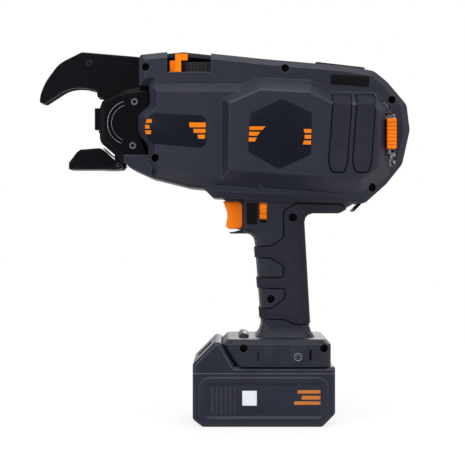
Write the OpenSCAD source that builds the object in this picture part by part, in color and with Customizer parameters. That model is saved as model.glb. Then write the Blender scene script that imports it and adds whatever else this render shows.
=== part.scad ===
// Cordless rebar tying tool, opened as on a bench: housing halves, jaws, twist drive,
// wire feed, wire reel, trigger group and slide-on battery pack.
// Origin at the middle of the battery's flat bottom, jaws towards -X, left side towards -Y.

/* [Housing] */
// Length of the housing body from nose to rear arch
body_len = 212; // [205:1:220]
// Height of the housing body
body_h = 119; // [117:1:124]
// Half width of the body's upper wall
body_half = 27; // [26:0.5:29]
// Half width over the front label pad
pad_half = 36; // [34:0.5:39]
// Half width over the reel bulge
bulge_half = 46; // [44:0.5:50]
// Wall of the moulded housing
wall = 3; // [2.4:0.1:3.6]
// Chamfer along the rim of the body
rim_chamfer = 5; // [3:0.5:6]

/* [Grip] */
// Half width of the grip
grip_half = 16.4; // [15.6:0.2:18]
// Thickness of the rubber overmould
rubber_t = 0.9; // [0.6:0.1:1.4]
// Travel of the trigger
trigger_travel = 5.5; // [3:0.5:5.5]
// Half width of the trigger
trigger_half = 8; // [7:0.5:9]

/* [Foot and battery] */
// Length of the foot
foot_len = 83.5; // [80:0.5:88]
// Half width of the foot
foot_half = 36.5; // [35:0.5:40]
// Height of the foot
foot_h = 20.5; // [20:0.5:23]
// Length of the battery pack
pack_len = 109.4; // [108:0.2:116]
// Half width of the battery pack without its side frames
pack_half = 36; // [35.5:0.5:39]
// Height of the battery's deck
pack_h = 46; // [45:0.5:49]
// Diameter of a cell
cell_d = 18.4; // [18:0.1:18.6]
// Length of a cell
cell_len = 65; // [60:0.5:65]

/* [Head] */
// Half width of the twist head
head_half = 22; // [20:0.5:22]
// Thickness of a head plate
plate_t = 2.2; // [1.6:0.1:2.4]
// Height of the twist axis
twist_z = 234.5; // [233:0.5:236]
// Half gap between the upper jaw plates
jaw_gap = 3.2; // [2.6:0.1:4]
// Thickness of an upper jaw plate
jaw_t = 4.8; // [4:0.1:5.2]
// Half width of the lower jaw
lower_half = 11; // [9:0.5:11.5]

/* [Reel] */
// Radius of the reel's flanges
reel_r = 38; // [34:0.5:38.5]
// Width of the reel over its flanges
reel_w = 44; // [36:1:46]
// Radius of the reel axle
axle_r = 6; // [5:0.5:7]

/* [Hidden] */

// Common fits and finishes
clear = 0.3;
fit = 0.15;
run_fit = 0.05;
over = 2;
least_r = 0.2;
soft_r = 2;
half_turn = 180;
round_r = 12;
$fn = 48;

// Places of the main groups
body_x = -98;
body_z = 172;
pad_x = -97.3;
pad_len = 97.3;
pad_z = 182.5;
pad_h = 81.5;
pad_step = 6.5;
pad_root = 24.6;
bulge_x = -38;
bulge_len = 137;
bulge_z = 178;
bulge_h = 91;
bulge_step = 12;
bulge_edge = 1.5;
grip_x = -17;
grip_len = 96;
grip_z = 66;
grip_h = 115;
foot_x = -31.8;
foot_z = 46.5;
head_x = -128;
head_len = 38.7;
head_z = 204.2;
head_h = 58.8;
head_chamfer = 4;
jaw_x = -177;
jaw_len = 93;
jaw_z = 251.4;
jaw_h = 40.8;
lower_x = -153.4;
lower_len = 43;
lower_z = 199;
lower_h = 17;
lip_x = -108.6;
lip_len = 22.6;
lip_z = 191.2;
lip_h = 18.4;
reel_x = 50;
reel_z = 224;

// Outlines, in hundredths of their own box: along, up, corner radius of the box height
body_shares = [
  [4.2, 17.1, 1], [19.3, 10.4, 20], [24.5, 9.5, 3], [27.8, 3.6, 3], [83.5, 0, 4], [91.3, 12.4, 8],
  [97.2, 25.5, 8], [100, 47.9, 10], [98.8, 64.5, 6], [91.7, 79.5, 20], [86.8, 86.6, 8], [75.9, 89.9, 20],
  [45.8, 94.5, 20], [16.5, 100, 8], [0.6, 97.1, 1.5], [0.5, 77, 0.8], [4.2, 77, 0.8]
];
pad_shares = [
  [8, 27.6, 1], [14.7, 13.5, 5], [41.4, 6.1, 20], [100, 0, 1], [100, 100, 1], [9.6, 100, 2],
  [9, 79.8, 4], [0, 71.2, 8], [0, 54, 8], [8, 41.1, 4]
];
bulge_shares = [
  [0, 8.8, 4], [83.2, 0, 8], [99.3, 18, 8], [100, 74.8, 6], [91.2, 87.4, 6], [67.3, 88.4, 8],
  [54.4, 97.8, 10], [24.3, 100, 12], [0, 84.6, 6]
];
grip_shares = [
  [16.9, 0, 0.5], [56.8, 0, 0.5], [50.9, 86.3, 6], [81.3, 86.3, 6], [111.5, 101.4, 0.5], [111.5, 121, 0.5],
  [0, 121, 0.5], [0, 71.6, 1.5], [10.4, 71.6, 6]
];
lip_shares = [[2.7, 66.8, 2], [22.6, 43.5, 8], [100, 0, 1], [100, 100, 1], [0, 100, 4]];
head_shares = [
  [47.8, 0, 1.5], [100, 0, 1], [100, 100, 1], [80.1, 100, 3], [51.7, 96.3, 8], [5.2, 81.3, 1.5],
  [0, 71.9, 6], [0, 26.9, 14]
];
plate_shares = [
  [47, 10.8, 1], [97.7, 10.2, 1], [97.7, 19.2, 1], [77.5, 36.4, 3], [77.5, 62.9, 3], [98.2, 73.1, 1],
  [98.2, 93.9, 1], [54.3, 90.1, 6], [10.3, 78.6, 1.5], [10.3, 30, 5]
];
jaw_shares = [
  [4.3, 0, 1.5], [25, 30.6, 60], [38.3, 30.6, 60], [48.4, 25.2, 2], [49.5, 11.6, 1.5], [52.4, 11.6, 1.5],
  [55.3, 6.4, 1], [75.5, 26.5, 6], [88, 31.5, 1], [100, 31.5, 1], [100, 78, 1], [85.2, 78, 1],
  [85, 90.5, 2], [36, 100, 12], [16.5, 78, 60], [5, 42, 80], [0.6, 18, 60], [0, 2.5, 1.5]
];
lower_shares = [
  [0, 0.6, 2], [93, 0.6, 14], [98, 18, 14], [93, 32, 6], [83, 44, 3], [61, 95, 6], [55, 99.5, 3],
  [21, 92.5, 5], [14.5, 80, 5], [0, 31, 3]
];
rubber_shares = [
  [3.1, 14, 1], [35.1, 13.2, 4], [43.4, 9.9, 4], [53.1, 9.9, 4], [65.6, 10.9, 1], [65.6, 81.7, 1],
  [90.6, 81.7, 1], [90.6, 86.5, 1], [80.9, 91.4, 2], [44.5, 92, 3], [34.6, 86.8, 3], [34.6, 68.8, 3],
  [24.7, 63, 4], [3.1, 62.1, 1]
];
window_shares = [
  [[-9, 41.5, 1], [34.5, 41.5, 2], [34.5, 49.7, 3], [23.4, 55.3, 4], [-9, 55.3, 1]],
  [[-9, 20.5, 1], [24.5, 20.5, 4], [35.6, 27.2, 3], [35.6, 34.4, 2], [-9, 34.4, 1]]
];
// Half-width rounding of the grip: depth and draw-in, in parts of its half width
grip_round_shares = [[0.5, 0.02], [0.74, 0.095], [0.9, 0.215], [1, 0.38]];

// Corners, fillets and lofts
function unit(v) = v / norm(v);
function left_of(v) = [-v[1], v[0]];
function flat(c) = [c[0], c[1]];
function before(list, i) = list[(i + len(list) - 1) % len(list)];
function after(list, i) = list[(i + 1) % len(list)];
function steps_of(r) = r < soft_r ? 1 : r < round_r ? 3 : 4;
function in_box(shares, x, z, w, h) =
  [for (s = shares) [x + s[0] / 100 * w, z + s[1] / 100 * h, s[2] / 100 * h, steps_of(s[2] / 100 * h)]];
function turn_at(corners, i) =
  let(b = flat(corners[i]))
  cross(b - flat(before(corners, i)), flat(after(corners, i)) - b);
function inset_corner(corners, i, d) =
  let(
    b = flat(corners[i]),
    m = left_of(unit(b - flat(before(corners, i)))),
    n = left_of(unit(flat(after(corners, i)) - b)),
    p = b + d * (m + n) / (1 + m * n),
    r = turn_at(corners, i) > 0 ? max(corners[i][2] - d, least_r) : corners[i][2]
  )
  [p[0], p[1], r, corners[i][3]];
function inset(corners, d) = [for (i = [0:len(corners) - 1]) inset_corner(corners, i, d)];
function arc_corner(corners, i) =
  let(
    b = flat(corners[i]),
    u = unit(flat(before(corners, i)) - b),
    v = unit(flat(after(corners, i)) - b),
    half = acos(u * v) / 2,
    r = corners[i][2],
    steps = corners[i][3],
    mid = b + unit(u + v) * r / sin(half),
    first = b + u * r / tan(half) - mid,
    start = atan2(first[1], first[0]),
    sweep = (turn_at(corners, i) > 0 ? 1 : -1) * (half_turn - 2 * half)
  )
  [for (k = [0:steps]) mid + r * [cos(start + sweep * k / steps), sin(start + sweep * k / steps)]];
function rounded(corners) = [for (i = [0:len(corners) - 1]) each arc_corner(corners, i)];
// A loft through outlines with equal corner counts; levels hold [height, corners]
module loft(levels) {
  rings = [for (l = levels) rounded(l[1])];
  n = len(rings[0]);
  top = (len(levels) - 1) * n;
  points = [for (k = [0:len(levels) - 1]) for (p = rings[k]) [p[0], p[1], levels[k][0]]];
  sides = [
    for (k = [0:len(levels) - 2]) for (i = [0:n - 1])
      let(j = (i + 1) % n, low = k * n, high = low + n)
      each [[low + i, high + i, high + j], [low + i, high + j, low + j]]
  ];
  polyhedron(points, concat([[for (i = [0:n - 1]) i]], sides, [[for (i = [n - 1:-1:0]) top + i]]));
}
// A side-on outline drawn in towards the outside; levels hold [depth to the left, inset]
module side_loft(corners, levels)
  rotate([90, 0, 0]) loft([for (l = levels) [l[0], inset(corners, l[1])]]);
// A side-on outline of one thickness, from one depth to another
module side_plate(corners, from, to)
  rotate([90, 0, 0]) translate([0, 0, from]) linear_extrude(to - from) polygon(rounded(corners));
// A round bar across the tool, from one depth to another
module cross_bar(x, z, from, to, r)
  translate([x, -from, z]) rotate([90, 0, 0]) cylinder(h = to - from, r = r);
// A round bar along the twist axis
module twist_bar(from, to, r)
  translate([from, 0, twist_z]) rotate([0, 90, 0]) cylinder(h = to - from, r = r);
// A block between two places along, two depths and two heights
module block(x, d, z)
  translate([x[0], -d[1], z[0]]) cube([x[1] - x[0], d[1] - d[0], z[1] - z[0]]);
// A block centred across the tool
module mid_block(x, half, z) block(x, [-half, half], z);
module mirror_y() mirror([0, 1, 0]) children();
module both_y() {
  children();
  mirror_y() children();
}
// A wire or tube along a list of points, with flat ends
function tangents(path) =
  [for (i = [0:len(path) - 1]) unit(path[min(i + 1, len(path) - 1)] - path[max(i - 1, 0)])];
module tube(path, r, side_ref, sides = 8) {
  dirs = tangents(path);
  points = [
    for (i = [0:len(path) - 1])
      let(a = unit(cross(dirs[i], side_ref)), b = cross(dirs[i], a))
      for (k = [0:sides - 1]) path[i] + r * (cos(360 * k / sides) * a + sin(360 * k / sides) * b)
  ];
  last = (len(path) - 1) * sides;
  faces = concat(
    [[for (k = [0:sides - 1]) k]],
    [for (i = [0:len(path) - 2]) for (k = [0:sides - 1])
      let(j = (k + 1) % sides, low = i * sides, high = low + sides)
      each [[low + k, high + k, high + j], [low + k, high + j, low + j]]],
    [[for (k = [sides - 1:-1:0]) last + k]]
  );
  polyhedron(points, faces);
}

// Corner lists of the main outlines
body_corners = in_box(body_shares, body_x, body_z, body_len, body_h);
pad_corners = in_box(pad_shares, pad_x, pad_z, pad_len, pad_h);
bulge_corners = in_box(bulge_shares, bulge_x, bulge_z, bulge_len, bulge_h);
grip_corners = in_box(grip_shares, grip_x, grip_z, grip_len, grip_h);
lip_corners = in_box(lip_shares, lip_x, lip_z, lip_len, lip_h);
head_corners = in_box(head_shares, head_x, head_z, head_len, head_h);
plate_corners = in_box(plate_shares, head_x, head_z, head_len, head_h);
jaw_corners = in_box(jaw_shares, jaw_x, jaw_z, jaw_len, jaw_h);
lower_corners = in_box(lower_shares, lower_x, lower_z, lower_len, lower_h);

// Twist drive along its axis
motor_r = 17.5;
motor_x = -34;
motor_len = 42;
gearbox_r = 16;
gearbox_len = 28;
bearing_r = 12;
bearing_x = -71;
bearing_len = 7;
shaft_r = 4;
shaft_front = -107;
sleeve_r = 9;
sleeve_x = -108;
sleeve_len = 24;
hook_len = 16;
rib_t = 2.5;
rib_top = 253;
rib_places = [bearing_x + bearing_len / 2, motor_x - gearbox_len / 2, motor_x + motor_len / 2];
rib_lows = [189, 185, 176];

// Wire feed under the top window
feed_x = -56;
wire_z = 271.2;
wire_r = 0.4;
feed_r = 8.8;
press_r = 6.8;
feed_w = 6;
feed_z = wire_z - wire_r - feed_r;
press_z = wire_z + wire_r + press_r;
feed_motor_r = 10.5;
feed_motor_near = 5;
feed_axle_r = 1.5;
boss_t = 2.4;
guide_r = 1.5;
guide_front = -90;
guide_rear = -62;
guide_rib_x = -77;
guide_rib_low = 263.5;
guide_rib_top = 273.5;
lever_x = -36;
lever_z = 280;
lever_pin_r = 2;
lever_near = 8;
lever_t = 5;
lever_front = -63;
lever_low = 273.9;
lever_h = 8.6;
thumb_t = 5;
thumb_rib = 1;
thumb_pitch = 3;
window_x = -74.8;
window_len = 34;
window_z = 273.5;
window_root = 14;

// Reel group
flange_t = 2;
hub_r = 14;
winding_r = 33;
axle_far = 23.5;
axle_boss = 3;
reel_boss_root = 23;
latch_x = 94;
latch_len = 7;
latch_z = 213.6;
latch_h = 22.8;
latch_root = 28.2;
latch_tip = 40;
latch_travel = 5;
latch_bar_z = 221;
latch_bar_h = 8;
latch_bar_len = 5;
latch_bar_far = 22;
latch_rib = 0.8;
latch_ribs = 8;
notch_x = 92.6;
notch_front = 12;
strip_t = 0.8;
strip_edge = 1;
strip_low = 200;
strip_top = 240.5;
hinge_z = 179.5;
hinge_out = 31;
hinge_pin_r = 1.5;
knuckle_r = 3.2;
knuckle_x = -16;
knuckle_len = 14;
knuckle_count = 5;

// Trigger group
trigger_x = -31.6;
trigger_back = -9;
trigger_z = 152;
trigger_h = 22;
stem_share = 0.25;
stem_back = grip_x + stem_share * grip_len;
stem_h = 3;
spring_rise = 3.6;
stem_half = 3;
switch_share = 0.323;
switch_x = grip_x + switch_share * grip_len;
switch_len = 14;
switch_half = 8;
switch_z = 150.6;
switch_h = 8;
ledge_x = -26.3;
ledge_len = 13;
ledge_z = 148.3;
ledge_t = 1.4;
ledge_half = 9;
slot_half = 2.9;
slot_z = 156.8;
slot_h = 15.8;
slider_h = 12.8;
slider_rib_shares = [0.2, 0.8];
slider_root = 10.5;
slider_tip = 17.8;
lock_travel = 2.2;
wire_way_x = 15;
wire_way_r = 5;

// Screws through the housing: along, up, and how far out their heads sit
screw_r = 1.5;
screw_head_r = 2.8;
screw_head_h = 2.2;
screw_hole_r = 3.2;
screw_boss_r = 4.6;
screw_reach = 12;
rim_seat = 18;
grip_seat = 9;
foot_seat = 27;
nose_screw = [-91.5, 277.5];
top_screw = [16.6, 276.6];
arch_screw = [99.5, 252];
heel_screw = [84, 184];
chin_screw = [-83.5, 206.5];
web_screw_share = 0.42;
palm_screw_share = 0.24;
web_screw = [grip_x + web_screw_share * grip_len, 161];
palm_screw = [grip_x + palm_screw_share * grip_len, 97];
toe_screw = [-15.5, 60.5];
rear_screw = [46, 60.5];
upper_screws = 5;
grip_screws = 2;
screw_places = [
  [nose_screw, rim_seat], [top_screw, rim_seat], [arch_screw, rim_seat], [heel_screw, rim_seat],
  [chin_screw, rim_seat], [web_screw, grip_seat], [palm_screw, grip_seat],
  [toe_screw, foot_seat], [rear_screw, foot_seat]
];

// Foot, rail channel and board
foot_lead = 10.8;
foot_corner = 6;
foot_bevel = 3.6;
flare_h = 10;
flare_x = -12;
flare_len = 59;
flare_half = 27;
flare_shares = [[0, 0], [0.25, 0.55], [0.6, 0.85], [1, 1]];
rail_x = -22;
rail_len = 62;
stem_rail_half = 16;
rail_half = 21;
rail_low = 50;
rail_top = 55;
roof_t = 2;
board_x = -8;
board_len = 46;
board_half = 29;
board_t = 1.6;
board_lift = 1;
board_room = 5.5;
tooth_x = -18;
tooth_len = 4;
tooth_half = 4;
tooth_rise = 1.6;
terminal_x = 41;
terminal_len = 5;
terminal_half = 18.6;
blade_t = 0.8;
blade_len = 9;
blade_pitch = 7;
blade_count = 5;

// Top panel
panel_x = 42;
panel_len = 38;
panel_half = 13.7;
panel_z = 273.8;
panel_h = 7.7;
panel_rise = 1;
panel_shares = [[0, 0, 3], [100, 0, 3], [100, 42, 8], [0, 100, 8]];
button_r = 4.5;
button_travel = 0.8;
button_places = [59, 72];
button_low = 275.4;
button_h = 5.6;
lens_x = 47;
lens_len = 5;
lens_half = 6;
lens_low = 278.6;

// Strap bar at the heel
strap_x = 71.7;
strap_z = 165.7;
strap_len = 19;
strap_half = 10;
strap_t = 1.6;
strap_slot_half = 6.5;
strap_slot_x = 2.2;
strap_slot_len = 4.2;

// Head and jaw details
spigot_r = 15;
spigot_rear = -80;
twist_bore = sleeve_r + run_fit;
plate_screw_places = [[-100.2, 250.6], [-101.5, 216.6]];
plate_screw_r = 1.3;
plate_screw_head_r = 2.7;
plate_screw_head_h = 1.2;
plate_screw_len = 8;
arc_x = -103.9;
arc_z = 234.3;
arc_r = 15.7;
arc_w = 2.7;
arc_depth = 1.2;
arc_count = 12;
arc_from = 106;
arc_to = 247;
contact_t = 4.3;
contact_low = 229.9;
contact_h = 16.9;
contact_half = 15;
contact_gap = 9.6;
contact_bar = 3;
jaw_bevel = 0.8;
jaw_screw_place = [-137.4, 283];
jaw_screw_r = 1.6;
jaw_screw_head_r = 2.8;
jaw_screw_head_h = 1;
curl_x = -141;
curl_r = 31;
curl_draw = 1.6;
groove_half = 0.8;
lower_pin = [-113.5, 202.3];
lower_pin_r = 1.5;
lower_bevel = 1;
lug_r = 3.2;
lug_t = 3.4;
jaw_lip_t = 0.9;
jaw_lip_half = 11;
jaw_lip_shares = [[84, 51], [72.5, 74], [63, 97]];
spring_wire_r = 0.6;
spring_route_shares = [[68, -4.5], [90, -4.5], [101, -2], [104.5, 8], [106.3, 17]];
spring_depth = 6;

// Battery pack
pack_rise = 18.9;
pack_shares = [
  [7, 0, 5], [91, 0, 5], [100, 15.4, 6], [100, 70.9, 1], [29.5, 70.9, 1], [19.4, 100, 3], [15.3, 100, 4],
  [0, 74.3, 4], [0, 9.2, 5]
];
pack_split = 41;
pack_edge = 2;
pack_wall = 2.2;
frame_t = 1.5;
frame_front = 4.7;
frame_rear = 5;
frame_x = frame_front - pack_len / 2;
frame_len = pack_len - frame_front - frame_rear;
frame_z = 2.5;
frame_h = 36;
frame_r = 8;
frame_w = 6;
frame_slope = 2;
grille_x = -40;
grille_pitch = 3.4;
grille_count = 6;
grille_w = 1.4;
cell_columns = 5;
cell_pitch = 19.4;
cell_low = 12.3;
cell_rise = 18.9;
holder_near = 24;
holder_t = 5;
pack_board_x = -28;
pack_board_len = 56;
pack_board_half = 24;
pack_board_z = 42.2;
slope_mid = [-46.4, 56.4];
slope_angle = 45;
button_len = 15;
button_half = 11;
button_t = 6;
button_sink = 1.4;
release_travel = 2.4;
arm_z = 48.6;
arm_h = 3.4;
arm_half = 5;
arm_x = -43.5;

// Housing halves
shell_colour = "#34353e";
dark_colour = "#1b1b20";
rubber_colour = "#2b2a31";
orange_colour = "#f07d10";
steel_colour = "#b9bcc2";
cavity_start = body_half - rim_chamfer - wall / 2;
function grip_levels(draw) = concat(
  [[-over, draw]],
  [for (s = grip_round_shares) [s[0] * (grip_half - draw), s[1] * grip_half + draw]],
  [[grip_half - draw + over, grip_round_shares[len(grip_round_shares) - 1][1] * grip_half + draw]]
);
bulge_levels = [
  [pad_root, 0], [body_half, 0], [bulge_half - bulge_edge, bulge_step - bulge_edge],
  [bulge_half, bulge_step]
];
function foot_corners(lead, bevel, width) = [
  [foot_x + lead + bevel, bevel - width, foot_corner, 3],
  [foot_x + foot_len - bevel, bevel - width, foot_corner, 3],
  [foot_x + foot_len - bevel, over, least_r, 1], [foot_x + lead + bevel, over, least_r, 1]
];
function flare_corners(s) = [
  [flare_x + s * foot_lead, -flare_half + s * (flare_half - grip_half + rubber_t), foot_corner, 3],
  [flare_x + flare_len - s * foot_lead, -flare_half + s * (flare_half - grip_half + rubber_t), foot_corner, 3],
  [flare_x + flare_len - s * foot_lead, over, least_r, 1], [flare_x + s * foot_lead, over, least_r, 1]
];
module body_skin()
  side_loft(body_corners, [[-over, 0], [body_half - rim_chamfer, 0], [body_half, rim_chamfer]]);
module pad_skin() side_loft(pad_corners, [[pad_root, 0], [body_half, 0], [pad_half, pad_step]]);
module bulge_skin() side_loft(bulge_corners, bulge_levels);
module grip_skin(draw = 0) difference() {
  side_loft(grip_corners, grip_levels(draw));
  block([body_x, body_x + body_len], [grip_half - draw, grip_half - draw + over * 2], [0, body_z + body_h]);
}
module lip_skin() side_loft(lip_corners, [[-over, 0], [body_half - rim_chamfer / 2, 0], [body_half, least_r]]);
module foot_skin() loft([
  [foot_z, foot_corners(foot_lead, 0, foot_half)],
  [foot_z + foot_h - foot_bevel, foot_corners(0, 0, foot_half)],
  [foot_z + foot_h, foot_corners(0, foot_bevel, foot_half)]
]);
module flare_skin() loft([
  for (s = flare_shares) [foot_z + foot_h - foot_bevel + s[0] * (flare_h + foot_bevel), flare_corners(s[1])]
]);
module ledge_skin()
  block([ledge_x, ledge_x + ledge_len], [-over, ledge_half], [ledge_z, ledge_z + ledge_t]);
module body_room() side_plate(inset(body_corners, wall + clear), -over * 2, body_half - wall);
module bulge_room() side_plate(inset(bulge_corners, bulge_step + bulge_edge), cavity_start, bulge_half - wall);
module head_room() {
  side_plate(inset(head_corners, -fit), -over * 2, head_half + fit);
  twist_bar(head_x, spigot_rear + fit, spigot_r + fit);
}
module jaw_room() side_plate(inset(jaw_corners, -fit), -over * 2, jaw_gap + jaw_t + fit);
module twist_room() {
  twist_bar(bearing_x - fit, bearing_x + bearing_len + fit, bearing_r + fit);
  twist_bar(bearing_x, motor_x, gearbox_r + fit);
  twist_bar(motor_x - fit, motor_x + motor_len + fit, motor_r + fit);
}
module twist_ribs() for (i = [0:len(rib_places) - 1])
  block([rib_places[i] - rib_t / 2, rib_places[i] + rib_t / 2], [-over, body_half - rim_chamfer - clear],
    [rib_lows[i], rib_top]);
module guide_rib() difference() {
  block([guide_rib_x, guide_rib_x + rib_t], [-over, body_half - wall / 2], [guide_rib_low, guide_rib_top]);
  translate([guide_rib_x - over, 0, wire_z]) rotate([0, 90, 0]) cylinder(h = over * 3, r = guide_r + fit);
}
module trigger_room() {
  block([grip_x - over, trigger_back + trigger_travel + clear], [-over * 2, trigger_half + clear],
    [trigger_z - clear, trigger_z + trigger_h + clear]);
  block([trigger_back, switch_x + switch_len + fit], [-over * 2, switch_half + fit],
    [switch_z - fit, switch_z + switch_h + fit]);
  wire_way();
}
module wire_way()
  translate([wire_way_x, 0, rail_top + roof_t]) cylinder(h = switch_z - rail_top, r = wire_way_r);
module rail_room() {
  block([foot_x - over, rail_x + rail_len + clear], [-over * 2, stem_rail_half + clear],
    [foot_z - over, rail_low]);
  block([foot_x - over, rail_x + rail_len + clear], [-over * 2, rail_half + clear],
    [rail_low - clear, rail_top + clear]);
  block([foot_x - over, tooth_x + tooth_len + tooth_rise * 3], [-over * 2, tooth_half + clear],
    [rail_low, rail_top + clear + tooth_rise]);
  block([rail_x + rail_len - over, terminal_x + terminal_len + fit], [-over * 2, rail_half - over],
    [rail_low - clear, rail_top + clear]);
}
module board_room() block([board_x - fit, board_x + board_len + fit], [-over * 2, board_half + fit],
  [rail_top + clear + roof_t, foot_z + foot_h - roof_t]);
module board_posts() for (x = [board_x + over, board_x + board_len - over * 2])
  block([x, x + over], [-over * 3, board_half + wall], [rail_top, rail_top + clear + roof_t + board_lift]);
module screw_boss(s) cross_bar(s[0][0], s[0][1], -over, s[1] + screw_head_h, screw_boss_r);
module screw_hole(s, is_left) {
  cross_bar(s[0][0], s[0][1], -over * 2, is_left ? s[1] + over : screw_reach + fit, screw_r + run_fit);
  if (is_left) cross_bar(s[0][0], s[0][1], s[1], bulge_half, screw_hole_r);
}
module panel_room() mid_block([panel_x - fit, panel_x + panel_len + fit], panel_half + fit,
  [panel_z - fit, body_z + body_h]);
module strap_room(grow) translate([strap_x, 0, strap_z]) rotate([0, -45, 0])
  translate([0, -strap_half - grow, -grow]) cube([strap_len + grow, 2 * (strap_half + grow), strap_t + 2 * grow]);
// Upper shell, grip and foot of one half; the reel bulge belongs to the left half only
module upper_half(is_left) difference() {
  union() {
    difference() {
      body_skin();
      body_room();
    }
    pad_skin();
    lip_skin();
    if (is_left) bulge_skin();
    twist_ribs();
    guide_rib();
    block([panel_x - wall, panel_x + panel_len + wall], [-over, panel_half + wall],
      [panel_z - wall, panel_z + panel_rise]);
    for (i = [0:upper_screws - 1]) screw_boss(screw_places[i]);
  }
  if (is_left) bulge_room();
  head_room();
  jaw_room();
  twist_room();
  panel_room();
  strap_room(fit);
  for (i = [0:upper_screws - 1]) screw_hole(screw_places[i], is_left);
}
module grip_part(is_left) difference() {
  union() {
    grip_skin();
    ledge_skin();
  }
  side_plate(inset(body_corners, wall / 2), -over * 2, body_half);
  trigger_room();
  strap_room(fit);
  for (i = [upper_screws:upper_screws + grip_screws - 1]) screw_hole(screw_places[i], is_left);
}
module foot_part(is_left) difference() {
  union() {
    foot_skin();
    flare_skin();
  }
  rail_room();
  difference() {
    board_room();
    board_posts();
  }
  wire_way();
  for (i = [upper_screws + grip_screws:len(screw_places) - 1]) screw_hole(screw_places[i], is_left);
}
module housing_half(is_left) difference() {
  union() {
    upper_half(is_left);
    grip_part(is_left);
    foot_part(is_left);
  }
  block([jaw_x, body_x + body_len + over], [-body_half, 0], [-over, body_z + body_h + over]);
}

// Rubber and pads
rubber_corners = in_box(rubber_shares, grip_x, grip_z, grip_len, grip_h);
rubber_windows = [for (w = window_shares) in_box(w, grip_x, grip_z, grip_len, grip_h)];
strip_shares = [[11, 0, 6], [67, 0, 6], [78, 14, 8], [100, 100, 1.5], [22, 100, 1.5], [0, 14, 8]];
bumper_places = [48.9, 67.1];
bumper_w = 17.5;
bumper_z = 195;
bumper_h = 60;
bumper_t = 0.8;
module bumper_half(base) intersection() {
  difference() {
    side_loft(bulge_corners, [
      [base, 0], [bulge_half - bulge_edge + bumper_t, bulge_step - bulge_edge],
      [bulge_half + bumper_t, bulge_step]
    ]);
    side_loft(bulge_corners, [
      [base - over, 0], [base + run_fit, 0],
      [bulge_half - bulge_edge + run_fit, bulge_step - bulge_edge], [bulge_half + run_fit, bulge_step]
    ]);
  }
  for (x = bumper_places)
    side_plate(in_box(strip_shares, x, bumper_z, bumper_w, bumper_h), base + over, bulge_half + over);
}
module housing_left() color(shell_colour) difference() {
  housing_half(true);
  block([window_x, window_x + window_len], [window_root, body_half + over],
    [window_z, body_z + body_h + over]);
  block([notch_x, notch_x + notch_front], [body_half, bulge_half + over],
    [latch_z - latch_travel - clear, strip_top + clear]);
  block([latch_x + strip_edge - clear, latch_x + strip_edge + latch_bar_len + clear], [0, body_half + over],
    [latch_bar_z - latch_travel - clear, latch_bar_z + latch_bar_h + clear]);
  block([latch_x, latch_x + latch_len + strip_edge], [body_half - strip_t, body_half + over],
    [strip_low - fit, strip_top + fit]);
  block([-slot_half, slot_half], [slider_root - fit, grip_half + over], [slot_z, slot_z + slot_h]);
  cross_bar(reel_x, reel_z, 0, bulge_half - wall, axle_r + run_fit);
  cross_bar(lever_x, lever_z, -over * 2, body_half - wall / 2, lever_pin_r + run_fit);
}
module housing_right() color(shell_colour) mirror_y() difference() {
  union() {
    housing_half(false);
    for (i = [0:2:knuckle_count - 1]) knuckle(i);
    difference() {
      cross_bar(feed_x, feed_z, feed_motor_near + feed_w * 2, body_half - wall / 2, feed_motor_r + boss_t);
      cross_bar(feed_x, feed_z, 0, body_half - wall - fit, feed_motor_r + fit);
    }
  }
  side_plate(inset(bulge_corners, wall * 2), cavity_start, body_half + over);
  side_plate(inset(bulge_corners, -clear), body_half, pad_half + over);
  cross_bar(lever_x, lever_z, -over * 2, body_half - wall / 2, lever_pin_r + run_fit);
  hinge_bore();
}
module grip_rubber() color(rubber_colour) difference() {
  intersection() {
    grip_skin(-rubber_t);
    side_plate(rubber_corners, 0, grip_half * 2);
  }
  grip_skin(-run_fit);
  for (w = rubber_windows) side_plate(w, -over, grip_half * 3);
}
module grip_pad_left() color(rubber_colour) difference() {
  grip_rubber();
  cross_bar(web_screw[0], web_screw[1], 0, bulge_half, screw_hole_r);
}
module grip_pad_right() mirror_y() grip_rubber();
module bumper_pads() color(rubber_colour) bumper_half(body_half);
module cover_pads() color(rubber_colour) mirror_y() bumper_half(door_base);
module housing_screws() color(dark_colour) for (s = screw_places) {
  cross_bar(s[0][0], s[0][1], -screw_reach, s[1] + run_fit, screw_r);
  difference() {
    cross_bar(s[0][0], s[0][1], s[1], s[1] + screw_head_h, screw_head_r);
    cross_bar(s[0][0], s[0][1], s[1] + screw_head_h / 2, s[1] + screw_head_h + over, screw_r);
  }
}
module strap_bar() color(dark_colour) difference() {
  strap_room(0);
  translate([strap_x, 0, strap_z]) rotate([0, -45, 0])
    translate([strap_slot_x, -strap_slot_half, -over]) cube([strap_slot_len, 2 * strap_slot_half, over * 3]);
}

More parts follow.
